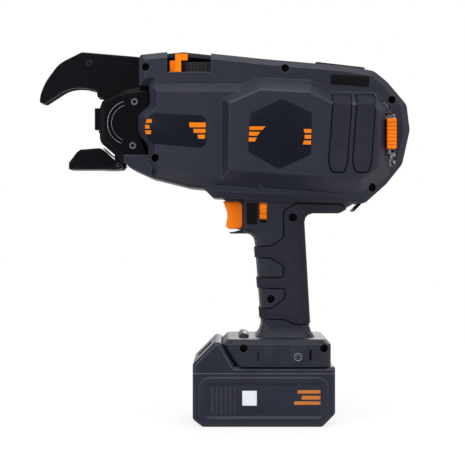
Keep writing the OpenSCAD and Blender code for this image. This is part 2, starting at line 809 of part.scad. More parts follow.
// Head
module head_case() color(shell_colour) difference() {
  union() {
    side_loft(head_corners, [
      [-head_half, head_chamfer], [head_chamfer - head_half, 0], [head_half - head_chamfer, 0],
      [head_half, head_chamfer]
    ]);
    twist_bar(head_x + head_len - over, spigot_rear, spigot_r);
    both_y() {
      cross_bar(lower_pin[0], lower_pin[1], lower_half + clear, lower_half + clear + lug_t, lug_r);
      block([lower_pin[0] - lug_r, lower_pin[0] + lug_r], [lower_half + clear, lower_half + clear + lug_t],
        [lower_pin[1], lower_pin[1] + lug_r * 3]);
    }
  }
  twist_bar(head_x - over, spigot_rear + over, twist_bore);
  both_y() jaw_room();
  cross_bar(lower_pin[0], lower_pin[1], -head_half, head_half, lower_pin_r + run_fit);
  both_y() for (p = plate_screw_places)
    cross_bar(p[0], p[1], head_half - plate_screw_len, head_half + over, plate_screw_r + run_fit);
}
module head_plate() color(dark_colour) difference() {
  side_plate(plate_corners, head_half, head_half + plate_t);
  for (p = plate_screw_places) cross_bar(p[0], p[1], 0, head_half + plate_t + over, plate_screw_r + run_fit);
  rotate([90, 0, 0]) translate([0, 0, head_half + plate_t - arc_depth]) linear_extrude(over)
    polygon(concat(arc_points(arc_r - arc_w / 2), [for (k = [arc_count:-1:0]) arc_points(arc_r + arc_w / 2)[k]]));
}
function arc_points(r) = [
  for (k = [0:arc_count])
    let(a = arc_from + (arc_to - arc_from) * k / arc_count)
    [arc_x + r * cos(a), arc_z + r * sin(a)]
];
module head_plate_left() head_plate();
module head_plate_right() mirror_y() head_plate();
module head_plate_screws() color(steel_colour) both_y() for (p = plate_screw_places) {
  cross_bar(p[0], p[1], head_half + plate_t - plate_screw_len, head_half + plate_t, plate_screw_r);
  difference() {
    cross_bar(p[0], p[1], head_half + plate_t, head_half + plate_t + plate_screw_head_h, plate_screw_head_r);
    cross_bar(p[0], p[1], head_half + plate_t + plate_screw_head_h / 2, head_half + plate_t + over,
      plate_screw_r);
  }
}
module contact_block() color(dark_colour) difference() {
  mid_block([head_x - contact_t, head_x], contact_half, [contact_low, contact_low + contact_h]);
  mid_block([head_x - contact_t - over, head_x + over], contact_gap,
    [contact_low - over, contact_low + contact_h - contact_bar]);
}
module upper_jaw() color(dark_colour) difference() {
  intersection() {
    side_loft(jaw_corners, [
      [0, 0], [jaw_gap + jaw_t - jaw_bevel, 0], [jaw_gap + jaw_t + jaw_bevel, jaw_bevel * 2]
    ]);
    side_plate(inset(jaw_corners, -over), jaw_gap, jaw_gap + jaw_t);
  }
  cross_bar(jaw_screw_place[0], jaw_screw_place[1], 0, jaw_gap + jaw_t + over, jaw_screw_r + run_fit);
  cross_bar(nose_screw[0], nose_screw[1], 0, jaw_gap + jaw_t + over, screw_r + run_fit);
}
module upper_jaw_left() upper_jaw();
module upper_jaw_right() mirror_y() upper_jaw();
module curl_guide() color("#55565c") difference() {
  side_plate(inset(jaw_corners, curl_draw), run_fit - jaw_gap, jaw_gap - run_fit);
  mid_block([curl_x, jaw_x + jaw_len + over], guide_r + run_fit, [wire_z - groove_half, wire_z + groove_half]);
  translate([guide_front - over, 0, wire_z]) rotate([0, 90, 0]) cylinder(h = jaw_len, r = guide_r + run_fit);
  translate([curl_x, 0, wire_z - curl_r]) rotate([90, 0, 0]) rotate([0, 0, 90]) rotate_extrude(angle = 75)
    translate([curl_r - groove_half, -groove_half]) square([groove_half * 2, groove_half * 2]);
  cross_bar(jaw_screw_place[0], jaw_screw_place[1], -jaw_gap, jaw_gap, jaw_screw_r + run_fit);
  cross_bar(nose_screw[0], nose_screw[1], -jaw_gap, jaw_gap, screw_r + run_fit);
}
module jaw_screw() color(dark_colour) {
  out = jaw_gap + jaw_t;
  cross_bar(jaw_screw_place[0], jaw_screw_place[1], -out, out + run_fit, jaw_screw_r);
  difference() {
    cross_bar(jaw_screw_place[0], jaw_screw_place[1], out, out + jaw_screw_head_h, jaw_screw_head_r);
    cross_bar(jaw_screw_place[0], jaw_screw_place[1], out + jaw_screw_head_h / 2, out + over, jaw_screw_r);
  }
}
module lower_jaw() color(dark_colour) difference() {
  side_loft(lower_corners, [
    [-lower_half, lower_bevel], [lower_bevel - lower_half, 0], [lower_half - lower_bevel, 0],
    [lower_half, lower_bevel]
  ]);
  cross_bar(lower_pin[0], lower_pin[1], -lower_half - over, lower_half + over, lower_pin_r + run_fit);
}
module lower_jaw_lip() color(steel_colour) {
  path = [for (s = jaw_lip_shares) [lower_x + s[0] / 100 * lower_len, lower_z + s[1] / 100 * lower_h]];
  rise = unit([path[0][1] - path[2][1], path[2][0] - path[0][0]]) * -jaw_lip_t;
  corners = concat(path, [for (i = [len(path) - 1:-1:0]) path[i] + rise]);
  rotate([90, 0, 0]) translate([0, 0, -jaw_lip_half]) linear_extrude(jaw_lip_half * 2) polygon(corners);
}
module lower_jaw_pin() color(steel_colour)
  cross_bar(lower_pin[0], lower_pin[1], -lower_half - clear - lug_t, lower_half + clear + lug_t, lower_pin_r);
module lower_jaw_spring() color(steel_colour) tube(
  [for (s = spring_route_shares)
    [lower_x + s[0] / 100 * lower_len, -spring_depth, lower_z + s[1] / 100 * lower_h]],
  spring_wire_r, [0, 1, 0]
);

// Twist drive
module twist_motor() color("#8d9096") union() {
  twist_bar(motor_x, motor_x + motor_len, motor_r);
}
module gearbox_case() color("#5f6268") difference() {
  union() {
    twist_bar(motor_x - gearbox_len, motor_x, gearbox_r);
    twist_bar(motor_x - gearbox_len / 4, motor_x - run_fit, gearbox_r);
  }
  twist_bar(motor_x - gearbox_len - over, motor_x - gearbox_len / 2, shaft_r + run_fit);
}
module thrust_bearing() color(steel_colour) difference() {
  twist_bar(bearing_x, bearing_x + bearing_len, bearing_r);
  twist_bar(bearing_x - over, bearing_x + bearing_len + over, shaft_r + run_fit);
}
module hook_shaft() color(steel_colour) union() {
  twist_bar(shaft_front, motor_x - gearbox_len / 2 - over, shaft_r);
  twist_bar(bearing_x - flange_t - clear, bearing_x - clear, shaft_r + flange_t);
}
module hook_sleeve() color("#77797f") difference() {
  union() {
    twist_bar(sleeve_x, sleeve_x + sleeve_len, sleeve_r);
  }
  twist_bar(sleeve_x - over, sleeve_x + sleeve_len + over, shaft_r + run_fit);
}
hook_half = 2.6;
hook_gap = 1;
hook_shares = [[0, 30], [14, 0], [100, 0], [100, 100], [40, 100], [22, 60], [20, 38], [8, 46]];
hook_h = 6.5;
module twist_hooks() color("#6a6c72") for (turn = [0, half_turn])
  translate([sleeve_x - hook_len, 0, twist_z]) rotate([turn, 0, 0]) rotate([90, 0, 0])
    translate([0, hook_gap, -hook_half]) linear_extrude(hook_half * 2)
      polygon([for (s = hook_shares) [s[0] / 100 * hook_len, s[1] / 100 * hook_h]]);

// Wire feed
module feed_motor() color("#8d9096") difference() {
  mirror_y() cross_bar(feed_x, feed_z, feed_motor_near, body_half - wall - fit - clear, feed_motor_r);
  mirror_y() cross_bar(feed_x, feed_z, 0, body_half / 2, feed_axle_r + run_fit);
}
module feed_wheel() color("#9a9ca2") {
  cross_bar(feed_x, feed_z, -feed_w / 2, feed_w / 2, feed_r - wire_r);
  cross_bar(feed_x, feed_z, -body_half / 2 + over, 0, feed_axle_r);
}
module press_wheel() color("#9a9ca2") difference() {
  cross_bar(feed_x, press_z, -feed_w / 2, feed_w / 2, press_r - wire_r);
  cross_bar(feed_x, press_z, -feed_w, feed_w, lever_pin_r + run_fit);
}
module release_lever() color(dark_colour) difference() {
  union() {
    block([lever_front, lever_x], [lever_near, lever_near + lever_t], [lever_low, lever_low + lever_h]);
    cross_bar(lever_x, lever_z, lever_near, lever_near + lever_t, lever_pin_r + boss_t);
    cross_bar(feed_x, press_z, -feed_w / 2 - clear, lever_near + over, lever_pin_r);
    block([lever_front, window_x + window_len - clear],
      [lever_near + lever_t, lever_near + lever_t + thumb_t], [lever_low, lever_low + lever_h]);
    for (x = [lever_front + thumb_pitch:thumb_pitch:window_x + window_len - thumb_pitch])
      block([x, x + thumb_rib], [lever_near + lever_t, lever_near + lever_t + thumb_t + thumb_rib],
        [lever_low, lever_low + lever_h]);
  }
  cross_bar(lever_x, lever_z, 0, body_half, lever_pin_r + run_fit);
}
module lever_pin() color(steel_colour) cross_bar(lever_x, lever_z, -body_half / 2, body_half - wall, lever_pin_r);
stopper_x = -68.5;
stopper_w = 4.5;
stopper_arm = 5;
stopper_step = 4.4;
stopper_low = 273.8;
stopper_h = 14;
stopper_near = 22.3;
stopper_t = 3.8;
stopper_travel = 4;
module release_stopper() color(orange_colour) {
  block([stopper_x, stopper_x + stopper_w], [stopper_near, stopper_near + stopper_t],
    [stopper_low, stopper_low + stopper_h]);
  block([stopper_x, stopper_x + stopper_w + stopper_arm], [stopper_near, stopper_near + stopper_t],
    [stopper_low + stopper_h - stopper_arm, stopper_low + stopper_h]);
  block([stopper_x - stopper_step, stopper_x + stopper_w], [stopper_near - over, stopper_near + over / 2],
    [stopper_low, stopper_low + stopper_h - stopper_arm]);
}
module wire_guide_tube() color(steel_colour) difference() {
  translate([guide_front, 0, wire_z]) rotate([0, 90, 0]) cylinder(h = guide_rear - guide_front, r = guide_r);
  translate([guide_front - over, 0, wire_z]) rotate([0, 90, 0])
    cylinder(h = guide_rear - guide_front + over * 2, r = wire_r * 2);
}

// Reel and its door
module reel_axle() color(steel_colour) cross_bar(reel_x, reel_z, -axle_far, bulge_half - wall - clear, axle_r);
module reel_spool() color("#e6e3da") difference() {
  union() {
    cross_bar(reel_x, reel_z, -reel_w / 2, reel_w / 2, hub_r);
    cross_bar(reel_x, reel_z, reel_w / 2 - flange_t, reel_w / 2, reel_r);
    cross_bar(reel_x, reel_z, -reel_w / 2, flange_t - reel_w / 2, reel_r);
  }
  cross_bar(reel_x, reel_z, -reel_w, reel_w, axle_r + run_fit);
}
module wire_winding() color("#9fa1a6") difference() {
  cross_bar(reel_x, reel_z, flange_t + fit - reel_w / 2, reel_w / 2 - flange_t - fit, winding_r);
  cross_bar(reel_x, reel_z, -reel_w, reel_w, hub_r + fit);
}
module reel_latch() color(orange_colour) union() {
  block([latch_x, latch_x + latch_len], [latch_root, latch_tip - latch_rib], [latch_z, latch_z + latch_h]);
  pitch = latch_h / latch_ribs;
  for (i = [0:latch_ribs - 1])
    block([latch_x, latch_x + latch_len], [latch_root, latch_tip],
      [latch_z + pitch * i, latch_z + pitch * (i + 0.6)]);
  block([latch_x + strip_edge, latch_x + strip_edge + latch_bar_len], [-latch_bar_far, latch_root + over],
    [latch_bar_z, latch_bar_z + latch_bar_h]);
}
module latch_strip() color(steel_colour) difference() {
  block([latch_x + fit, latch_x + latch_len + strip_edge - fit], [body_half - strip_t, body_half],
    [strip_low, strip_top]);
  block([latch_x + strip_edge - clear, latch_x + strip_edge + latch_bar_len + clear],
    [body_half - over, body_half + over],
    [latch_bar_z - latch_travel - clear, latch_bar_z + latch_bar_h + clear]);
}
function coil(r, h, turns, steps) =
  [for (i = [0:turns * steps]) [r * cos(360 * i / steps), r * sin(360 * i / steps), h * i / (turns * steps)]];
coil_r = 2.4;
coil_wire_r = 0.4;
coil_turns = 5;
coil_steps = 10;
module coil_spring(h) tube(
  [for (p = coil(coil_r, h - coil_wire_r * 3, coil_turns, coil_steps)) p + [0, 0, coil_wire_r * 1.5]],
  coil_wire_r, [0, 0, 1], 6
);
latch_spring_h = 11;
latch_spring_depth = 10;
module latch_spring() color(steel_colour)
  translate([latch_x + strip_edge + latch_bar_len / 2, -latch_spring_depth, latch_bar_z - latch_spring_h])
    coil_spring(latch_spring_h);
module knuckle(i) intersection() {
  union() {
    translate([knuckle_x + knuckle_len * i + fit, -hinge_out, hinge_z]) rotate([0, 90, 0])
      cylinder(h = knuckle_len - 2 * fit, r = knuckle_r);
    block([knuckle_x + knuckle_len * i + fit, knuckle_x + knuckle_len * (i + 1) - fit],
      i % 2 == 0 ? [body_half - wall, hinge_out] : [hinge_out - knuckle_r, hinge_out + knuckle_r],
      i % 2 == 0 ? [hinge_z - knuckle_r, hinge_z] : [hinge_z, hinge_z + knuckle_r * 2]);
  }
}
module hinge_bore() translate([knuckle_x - over, -hinge_out, hinge_z]) rotate([0, 90, 0])
  cylinder(h = knuckle_len * knuckle_count + over * 2, r = hinge_pin_r + run_fit);
door_base = body_half + clear;
module reel_cover() color(shell_colour) mirror_y() difference() {
  union() {
    difference() {
      side_loft(bulge_corners, [
        [door_base, 0], [bulge_half - bulge_edge, bulge_step - bulge_edge], [bulge_half, bulge_step]
      ]);
      side_plate(inset(bulge_corners, bulge_step + bulge_edge), door_base - over, bulge_half - wall);
    }
    for (i = [1:2:knuckle_count - 1]) knuckle(i);
  }
  for (i = [0:2:knuckle_count - 1])
    block([knuckle_x + knuckle_len * i - fit, knuckle_x + knuckle_len * (i + 1) + fit], [0, bulge_half],
      [hinge_z - knuckle_r * 2, hinge_z + knuckle_r + clear]);
  hinge_bore();
}
module cover_hinge_pin() color(steel_colour) mirror_y()
  translate([knuckle_x, -hinge_out, hinge_z]) rotate([0, 90, 0])
    cylinder(h = knuckle_len * knuckle_count, r = hinge_pin_r);

// Trigger group
trigger_shares = [
  [0, 100, 1], [15, 58, 60], [8, 10, 8], [15, 0, 4], [100, 0, 1], [100, 100, 1]
];
trigger_edge = 2;
trigger_corners = in_box(trigger_shares, trigger_x, trigger_z, trigger_back - trigger_x, trigger_h);
module trigger() color(orange_colour) {
  intersection() {
    side_loft(trigger_corners, [
      [-trigger_half - trigger_edge / 2, trigger_edge / 2], [trigger_edge / 2 - trigger_half, 0],
      [trigger_half - trigger_edge / 2, 0], [trigger_half + trigger_edge / 2, trigger_edge / 2]
    ]);
    side_plate(inset(trigger_corners, -over), -trigger_half, trigger_half);
  }
  mid_block([trigger_back - over, stem_back], stem_half, [trigger_z + stem_h, trigger_z + stem_h * 2]);
}
module trigger_switch() color(dark_colour)
  mid_block([switch_x, switch_x + switch_len], switch_half, [switch_z, switch_z + switch_h]);
module trigger_spring() color(steel_colour)
  translate([stem_back, 0, trigger_z + spring_rise]) rotate([0, 90, 0]) coil_spring(switch_x - stem_back);
module lock_slider() color(orange_colour) {
  low = slot_z + slot_h - slider_h - fit;
  block([fit - slot_half, slot_half - fit], [slider_root, slider_tip - over], [low, low + slider_h]);
  for (z = [for (s = slider_rib_shares) low + s * slider_h])
    translate([fit - slot_half, over - slider_tip, z]) rotate([0, 90, 0])
      cylinder(h = 2 * (slot_half - fit), r = over);
}

// Top panel
panel_corners = in_box(panel_shares, panel_x, panel_z, panel_len, panel_h);
module control_panel() color(dark_colour) difference() {
  side_loft(panel_corners, [[-panel_half, 0], [panel_half, 0]]);
  for (x = button_places) translate([x, 0, button_low - button_travel - fit])
    cylinder(h = panel_h, r = button_r + clear);
  mid_block([lens_x - fit, lens_x + lens_len + fit], lens_half + fit, [lens_low, panel_z + panel_h + over]);
}
module push_button(x) translate([x, 0, button_low]) cylinder(h = button_h, r = button_r);
module power_button() color(orange_colour) push_button(button_places[0]);
module mode_button() color("#55565c") push_button(button_places[1]);
module indicator_lens() color("#9fd08a")
  mid_block([lens_x, lens_x + lens_len], lens_half, [lens_low + fit, lens_low + over]);

// Foot electronics
chip_h = 2.4;
chip_shares = [[0.1, -0.7, 0.3, -0.2], [0.1, 0.2, 0.4, 0.7], [0.65, -0.6, 0.9, 0.1]];
board_z = rail_top + clear + roof_t + board_lift + fit;
module control_board() color("#2f6b45") {
  mid_block([board_x, board_x + board_len], board_half, [board_z, board_z + board_t]);
  for (c = chip_shares)
    block([board_x + c[0] * board_len, board_x + c[2] * board_len], [c[1] * board_half, c[3] * board_half],
      [board_z + board_t, board_z + board_t + chip_h]);
}
blade_z = 51;
blade_h = 3.4;
module terminal_block() color(dark_colour) difference() {
  mid_block([terminal_x, terminal_x + terminal_len], terminal_half, [rail_low, rail_top]);
  for (i = [0:blade_count - 1]) blade(i, run_fit);
}
module blade(i, grow) {
  y = (i - (blade_count - 1) / 2) * blade_pitch;
  block([terminal_x - blade_len - grow, terminal_x + terminal_len / 2 + grow],
    [y - blade_t / 2 - grow, y + blade_t / 2 + grow], [blade_z - grow, blade_z + blade_h + grow]);
}
module terminal_blades() color("#c9a24a") for (i = [0:blade_count - 1]) blade(i, 0);

// Battery pack
pack_corners = in_box(pack_shares, -pack_len / 2, 0, pack_len, pack_h + pack_rise);
frame_corners = [
  [frame_x, frame_z, frame_r, 3], [frame_x + frame_len, frame_z, frame_r, 3],
  [frame_x + frame_len, frame_z + frame_h, frame_r, 3], [frame_x, frame_z + frame_h, frame_r, 3]
];
module pack_skin() side_loft(pack_corners, [
  [-pack_half, pack_edge], [pack_edge - pack_half, 0], [pack_half - pack_edge, 0], [pack_half, pack_edge]
]);
module pack_low(top) mid_block([-pack_len, pack_len], pack_half * 2, [-over, top]);
module side_frame() {
  difference() {
    side_loft(frame_corners, [
      [pack_half - over, 0], [pack_half + frame_t / 2, 0], [pack_half + frame_t, frame_slope / 2]
    ]);
    side_loft(inset(frame_corners, frame_w), [
      [pack_half - over * 2, 0], [pack_half, 0], [pack_half + frame_t + fit, -frame_slope]
    ]);
  }
  for (i = [0:grille_count - 1])
    block([grille_x + grille_pitch * i, grille_x + grille_pitch * i + grille_w],
      [pack_half - over, pack_half + frame_t / 2],
      [frame_z + frame_w + frame_slope, frame_z + frame_h - frame_w - frame_slope]);
}
module battery_case_bottom() color(shell_colour) {
  difference() {
    intersection() {
      pack_skin();
      pack_low(pack_split);
    }
    side_plate(inset(pack_corners, pack_wall), pack_wall - pack_half, pack_half - pack_wall);
  }
  both_y() side_frame();
}
module release_frame() translate([slope_mid[0], 0, slope_mid[1]]) rotate([0, -slope_angle, 0]) children();
release_spring_side = 8;
module release_room() {
  release_frame() mid_block([-button_len / 2 - clear, button_len / 2 + clear], button_half + clear,
    [-button_sink - button_t - release_travel - clear, over * 2]);
  release_frame() translate([0, release_spring_side, -button_sink - button_t - release_spring_h])
    cylinder(h = release_spring_h, r = coil_r + coil_wire_r * 3);
  mid_block([arm_x - over, tooth_x + tooth_len + release_travel + clear], arm_half + clear,
    [arm_z - release_travel - clear, arm_z + arm_h + clear]);
  mid_block([tooth_x - clear, tooth_x + tooth_len + release_travel + clear], tooth_half + clear,
    [arm_z, rail_top + over]);
}
release_spring_h = 6;
module battery_case_top() color(shell_colour) difference() {
  union() {
    difference() {
      pack_skin();
      pack_low(pack_split);
    }
    mid_block([foot_x, rail_x + rail_len], stem_rail_half, [pack_h - over, rail_top]);
    mid_block([foot_x, rail_x + rail_len], rail_half, [rail_low, rail_top]);
  }
  intersection() {
    side_plate(inset(pack_corners, pack_wall), pack_wall - pack_half, pack_half - pack_wall);
    pack_low(pack_h - pack_wall);
  }
  for (i = [0:blade_count - 1]) blade(i, clear);
  release_room();
}
function cell_place(i) = [
  (i % cell_columns - (cell_columns - 1) / 2) * cell_pitch, cell_low + floor(i / cell_columns) * cell_rise
];
module cells(grow) for (i = [0:cell_columns * 2 - 1])
  cross_bar(cell_place(i)[0], cell_place(i)[1], -cell_len / 2, cell_len / 2, cell_d / 2 + grow);
module battery_cells() color("#4f86b8") cells(0);
module cell_holders() color("#26262b") both_y() difference() {
  intersection() {
    side_plate(inset(pack_corners, pack_wall + fit), holder_near, holder_near + holder_t);
    pack_low(pack_split - fit);
  }
  cells(fit);
}
module battery_board() color("#2f6b45")
  mid_block([pack_board_x, pack_board_x + pack_board_len], pack_board_half,
    [pack_h - pack_wall - fit - board_t, pack_h - pack_wall - fit]);
module battery_latch() color(dark_colour) union() {
  release_frame() mid_block([-button_len / 2, button_len / 2], button_half,
    [-button_sink - button_t, -button_sink]);
  mid_block([arm_x, tooth_x + tooth_len], arm_half, [arm_z, arm_z + arm_h]);
  mid_block([tooth_x, tooth_x + tooth_len], tooth_half, [arm_z, rail_top + tooth_rise]);
}
module battery_latch_spring() color(steel_colour) release_frame()
  translate([0, release_spring_side, -button_sink - button_t - release_spring_h])
    coil_spring(release_spring_h);

housing_left();
housing_right();
grip_pad_left();
grip_pad_right();
bumper_pads();
housing_screws();
strap_bar();
head_case();
head_plate_left();
head_plate_right();
head_plate_screws();
contact_block();
upper_jaw_left();
upper_jaw_right();
curl_guide();
jaw_screw();
lower_jaw();
lower_jaw_lip();
lower_jaw_pin();
lower_jaw_spring();
twist_motor();
gearbox_case();
thrust_bearing();
hook_shaft();
hook_sleeve();
twist_hooks();
feed_motor();
feed_wheel();
press_wheel();
release_lever();
lever_pin();
release_stopper();
wire_guide_tube();
reel_axle();
reel_spool();
wire_winding();
reel_latch();
latch_strip();
latch_spring();
reel_cover();
cover_hinge_pin();
cover_pads();
trigger();
trigger_switch();
trigger_spring();
lock_slider();
control_panel();
power_button();
mode_button();
indicator_lens();
control_board();
terminal_block();
terminal_blades();
battery_case_bottom();
battery_case_top();
battery_cells();
cell_holders();
battery_board();
battery_latch();
battery_latch_spring();
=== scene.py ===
"""Looks of a cordless rebar tying tool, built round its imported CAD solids.

The solids keep their shapes and get worked-out finishes. Label plates, stripes, springs and small trim are
modelled here and seated on the solids that carry them. The scene is in metres, in the frame of the solids;
layouts are in millimetres, and Mould turns them into metres.
"""
import logging
import math
from dataclasses import dataclass
from enum import Enum
from typing import Any, Dict, List, Optional, Sequence, Tuple, Union

import bmesh
import bpy
from mathutils import Matrix, Vector


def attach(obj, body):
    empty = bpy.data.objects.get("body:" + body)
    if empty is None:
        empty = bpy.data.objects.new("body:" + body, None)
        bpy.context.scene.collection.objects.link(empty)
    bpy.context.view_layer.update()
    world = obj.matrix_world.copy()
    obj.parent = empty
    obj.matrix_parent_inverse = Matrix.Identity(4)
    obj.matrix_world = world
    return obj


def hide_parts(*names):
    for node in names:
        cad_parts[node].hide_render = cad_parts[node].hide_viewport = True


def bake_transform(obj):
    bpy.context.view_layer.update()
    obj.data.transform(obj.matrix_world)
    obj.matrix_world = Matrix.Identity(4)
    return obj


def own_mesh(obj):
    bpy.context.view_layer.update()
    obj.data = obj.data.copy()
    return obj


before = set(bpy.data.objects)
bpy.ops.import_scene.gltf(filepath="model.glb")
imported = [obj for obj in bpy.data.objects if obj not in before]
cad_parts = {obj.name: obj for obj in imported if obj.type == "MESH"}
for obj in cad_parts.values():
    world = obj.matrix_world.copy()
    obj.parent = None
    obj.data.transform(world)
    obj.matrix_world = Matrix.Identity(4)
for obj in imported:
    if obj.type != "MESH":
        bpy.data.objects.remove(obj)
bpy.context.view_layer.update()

log = logging.getLogger("tying_tool")
MM = 0.001
FAR = 300.0
WHITE = (1.0, 1.0, 1.0, 1.0)

Colour = Tuple[float, float, float, float]
Point = Tuple[float, float]
Triple = Tuple[float, float, float]
Sides = Tuple[float, float, float, float]
Line = Sequence[Triple]
Bar = Tuple[Point, Point, Point, Point]


class Side(float, Enum):
    """Side of the tool, as the sign of its Y. The photograph shows the left side."""

    LEFT = -1.0
    RIGHT = 1.0


def shade(code: str) -> Colour:
    """Turn a colour as it is written on screen into linear light.

    Args:
        code: Six hexadecimal digits.

    Returns:
        Red, green, blue and an alpha of 1.
    """
    parts = [int(code[i:i + 2], 16) / 255 for i in (0, 2, 4)]
    red, green, blue = [p / 12.92 if p <= 0.04045 else ((p + 0.055) / 1.055) ** 2.4 for p in parts]
    return (red, green, blue, 1.0)


def toned(colour: Colour, factor: float, lift: float = 0.0) -> Colour:
    """Make a colour darker or lighter by a factor, then lift it evenly."""
    red, green, blue = [min(1.0, factor * c + lift) for c in colour[:3]]
    return (red, green, blue, 1.0)


class Signal:
    """A shader socket that takes part in Python expressions."""

    def __init__(self, graph: "Graph", socket: bpy.types.NodeSocket) -> None:
        """Keep the socket and the graph that new nodes go into."""
        self.graph = graph
        self.socket = socket

    def _math(self, operation: str, first: Any, second: Any) -> "Signal":
        """Add one Math node of two inputs."""
        return self.graph.add("ShaderNodeMath", {"operation": operation}, {0: first, 1: second})

    def __add__(self, other: Any) -> "Signal":
        """Sum with a number or another signal."""
        return self._math("ADD", self, other)

    def __radd__(self, other: Any) -> "Signal":
        """Sum with a number on the left."""
        return self._math("ADD", other, self)

    def __sub__(self, other: Any) -> "Signal":
        """Take a number or another signal away."""
        return self._math("SUBTRACT", self, other)

    def __rsub__(self, other: Any) -> "Signal":
        """Take this signal from a number."""
        return self._math("SUBTRACT", other, self)

    def __mul__(self, other: Any) -> "Signal":
        """Multiply by a number or another signal."""
        return self._math("MULTIPLY", self, other)

    def either(self, other: Any) -> "Signal":
        """Give the greater of two signals."""
        return self._math("MAXIMUM", self, other)

    def fit(self, low: float, high: float, bottom: float = 0.0, top: float = 1.0) -> "Signal":
        """Stretch a span of this signal to another span, held at its ends.

        Args:
            low: Value that becomes bottom.
            high: Value that becomes top.
            bottom: Result at low and below.
            top: Result at high and above.

        Returns:
            The stretched signal.
        """
        return self.graph.add("ShaderNodeMapRange", {"clamp": True}, {
            "Value": self, "From Min": low, "From Max": high, "To Min": bottom, "To Max": top})

    def held(self, low: float) -> "Signal":
        """Hold this signal between a low value and 1."""
        return self.fit(low, 1.0, low, 1.0)

    def swing(self, size: float) -> "Signal":
        """Turn a pattern from 0 to 1 into one about zero, of a given size."""
        return (self - 0.5) * size


class Graph:
    """One node tree and the few ways in which nodes are added to it."""

    EDGE_SAMPLES = 6

    def __init__(self, tree: bpy.types.NodeTree) -> None:
        """Start from an empty tree."""
        self.tree = tree
        tree.nodes.clear()

    @classmethod
    def of_material(cls, name: str) -> Tuple["Graph", bpy.types.Material]:
        """Make a material and the graph of its tree."""
        material = bpy.data.materials.new(name)
        material.use_nodes = True
        return cls(material.node_tree), material

    def add(self, kind: str, settings: Optional[Dict[str, Any]] = None,
            sockets: Optional[Dict[Union[int, str], Any]] = None, out: Union[int, str] = 0) -> Optional[Signal]:
        """Add a node, set it up, and fill its sockets.

        Args:
            kind: Node type.
            settings: Properties of the node, set first.
            sockets: Values or signals by socket name or number.
            out: Output that is wanted.

        Returns:
            The wanted output, or None for a node with no output.
        """
        node = self.tree.nodes.new(kind)
        for key, value in (settings or {}).items():
            setattr(node, key, value)
        for key, value in (sockets or {}).items():
            if isinstance(value, Signal):
                self.tree.links.new(value.socket, node.inputs[key])
            else:
                node.inputs[key].default_value = value
        return Signal(self, node.outputs[out]) if len(node.outputs) else None

    def place(self) -> Signal:
        """Give the place on the piece, in metres."""
        return self.add("ShaderNodeTexCoord", out="Object")

    def stretched(self, scale: Triple, turn: float = 0.0) -> Signal:
        """Give the place, scaled along each axis and turned about Y."""
        return self.add("ShaderNodeMapping", {}, {
            "Vector": self.place(), "Rotation": (0.0, turn, 0.0), "Scale": scale})

    def noise(self, scale: float, detail: float = 3.0, rough: float = 0.55,
              where: Optional[Signal] = None) -> Signal:
        """Add soft noise.

        Args:
            scale: Lumps per metre, or per unit of where.
            detail: Octaves.
            rough: Share that each octave keeps.
            where: Coordinates, the place on the piece if None.

        Returns:
            Noise from 0 to 1, mostly near a half.
        """
        return self.add("ShaderNodeTexNoise", {}, {
            "Vector": where or self.place(), "Scale": scale, "Detail": detail, "Roughness": rough})

    def streaks(self, scale: Triple, turn: float = 0.0, detail: float = 3.0, rough: float = 0.6) -> Signal:
        """Add noise drawn out along an axis: lumps per metre on each axis, and the turn about Y."""
        return self.noise(1.0, detail, rough, self.stretched(scale, turn))

    def cells(self, scale: float, feature: str = "F1") -> Signal:
        """Add a pattern of cells and give the distance in each."""
        return self.add("ShaderNodeTexVoronoi", {"feature": feature}, {
            "Vector": self.place(), "Scale": scale}, out="Distance")

    def bands(self, scale: float, direction: str, twist: float = 0.0) -> Signal:
        """Add sine bands along one axis."""
        return self.add("ShaderNodeTexWave", {"wave_type": "BANDS", "bands_direction": direction}, {
            "Vector": self.place(), "Scale": scale, "Distortion": twist, "Detail": 1.0})

    def along(self, axis: str) -> Signal:
        """Give one coordinate of the place, X, Y or Z."""
        return self.add("ShaderNodeSeparateXYZ", {}, {0: self.place()}, out=axis)

    def mix(self, share: Any, first: Any, second: Any) -> Signal:
        """Blend two colours by a share from 0 to 1."""
        return self.add("ShaderNodeMix", {"data_type": "RGBA", "clamp_factor": True}, {
            0: share, 6: first, 7: second}, out=2)

    def softened(self, radius: float) -> Signal:
        """Give the normal with every edge rounded by a radius."""
        return self.add("ShaderNodeBevel", {"samples": self.EDGE_SAMPLES}, {"Radius": radius})

    def edges(self, soft: Signal, low: float = 0.02, high: float = 0.16) -> Signal:
        """Mark the edges, where the rounded normal leaves the true one.

        Args:
            soft: Rounded normal.
            low: Departure at which the mark starts.
            high: Departure at which the mark is full.

        Returns:
            1 on edges, 0 on flats.
        """
        flat = self.add("ShaderNodeNewGeometry", out="Normal")
        facing = self.add("ShaderNodeVectorMath", {"operation": "DOT_PRODUCT"}, {0: soft, 1: flat}, out="Value")
        return (1.0 - facing).fit(low, high)

    def bump(self, height: Signal, depth: float, normal: Signal, strength: float) -> Signal:
        """Lay a height pattern on a normal.

        Args:
            height: Pattern from 0 to 1.
            depth: Height of the pattern in metres.
            normal: Normal that the pattern lies on.
            strength: Share of the effect.

        Returns:
            The new normal.
        """
        return self.add("ShaderNodeBump", {}, {
            "Strength": strength, "Distance": depth, "Height": height, "Normal": normal})

    def surface(self, sockets: Dict[Union[int, str], Any]) -> None:
        """End the material in one principled shader."""
        body = self.add("ShaderNodeBsdfPrincipled", {}, sockets, out="BSDF")
        self.add("ShaderNodeOutputMaterial", {}, {"Surface": body})


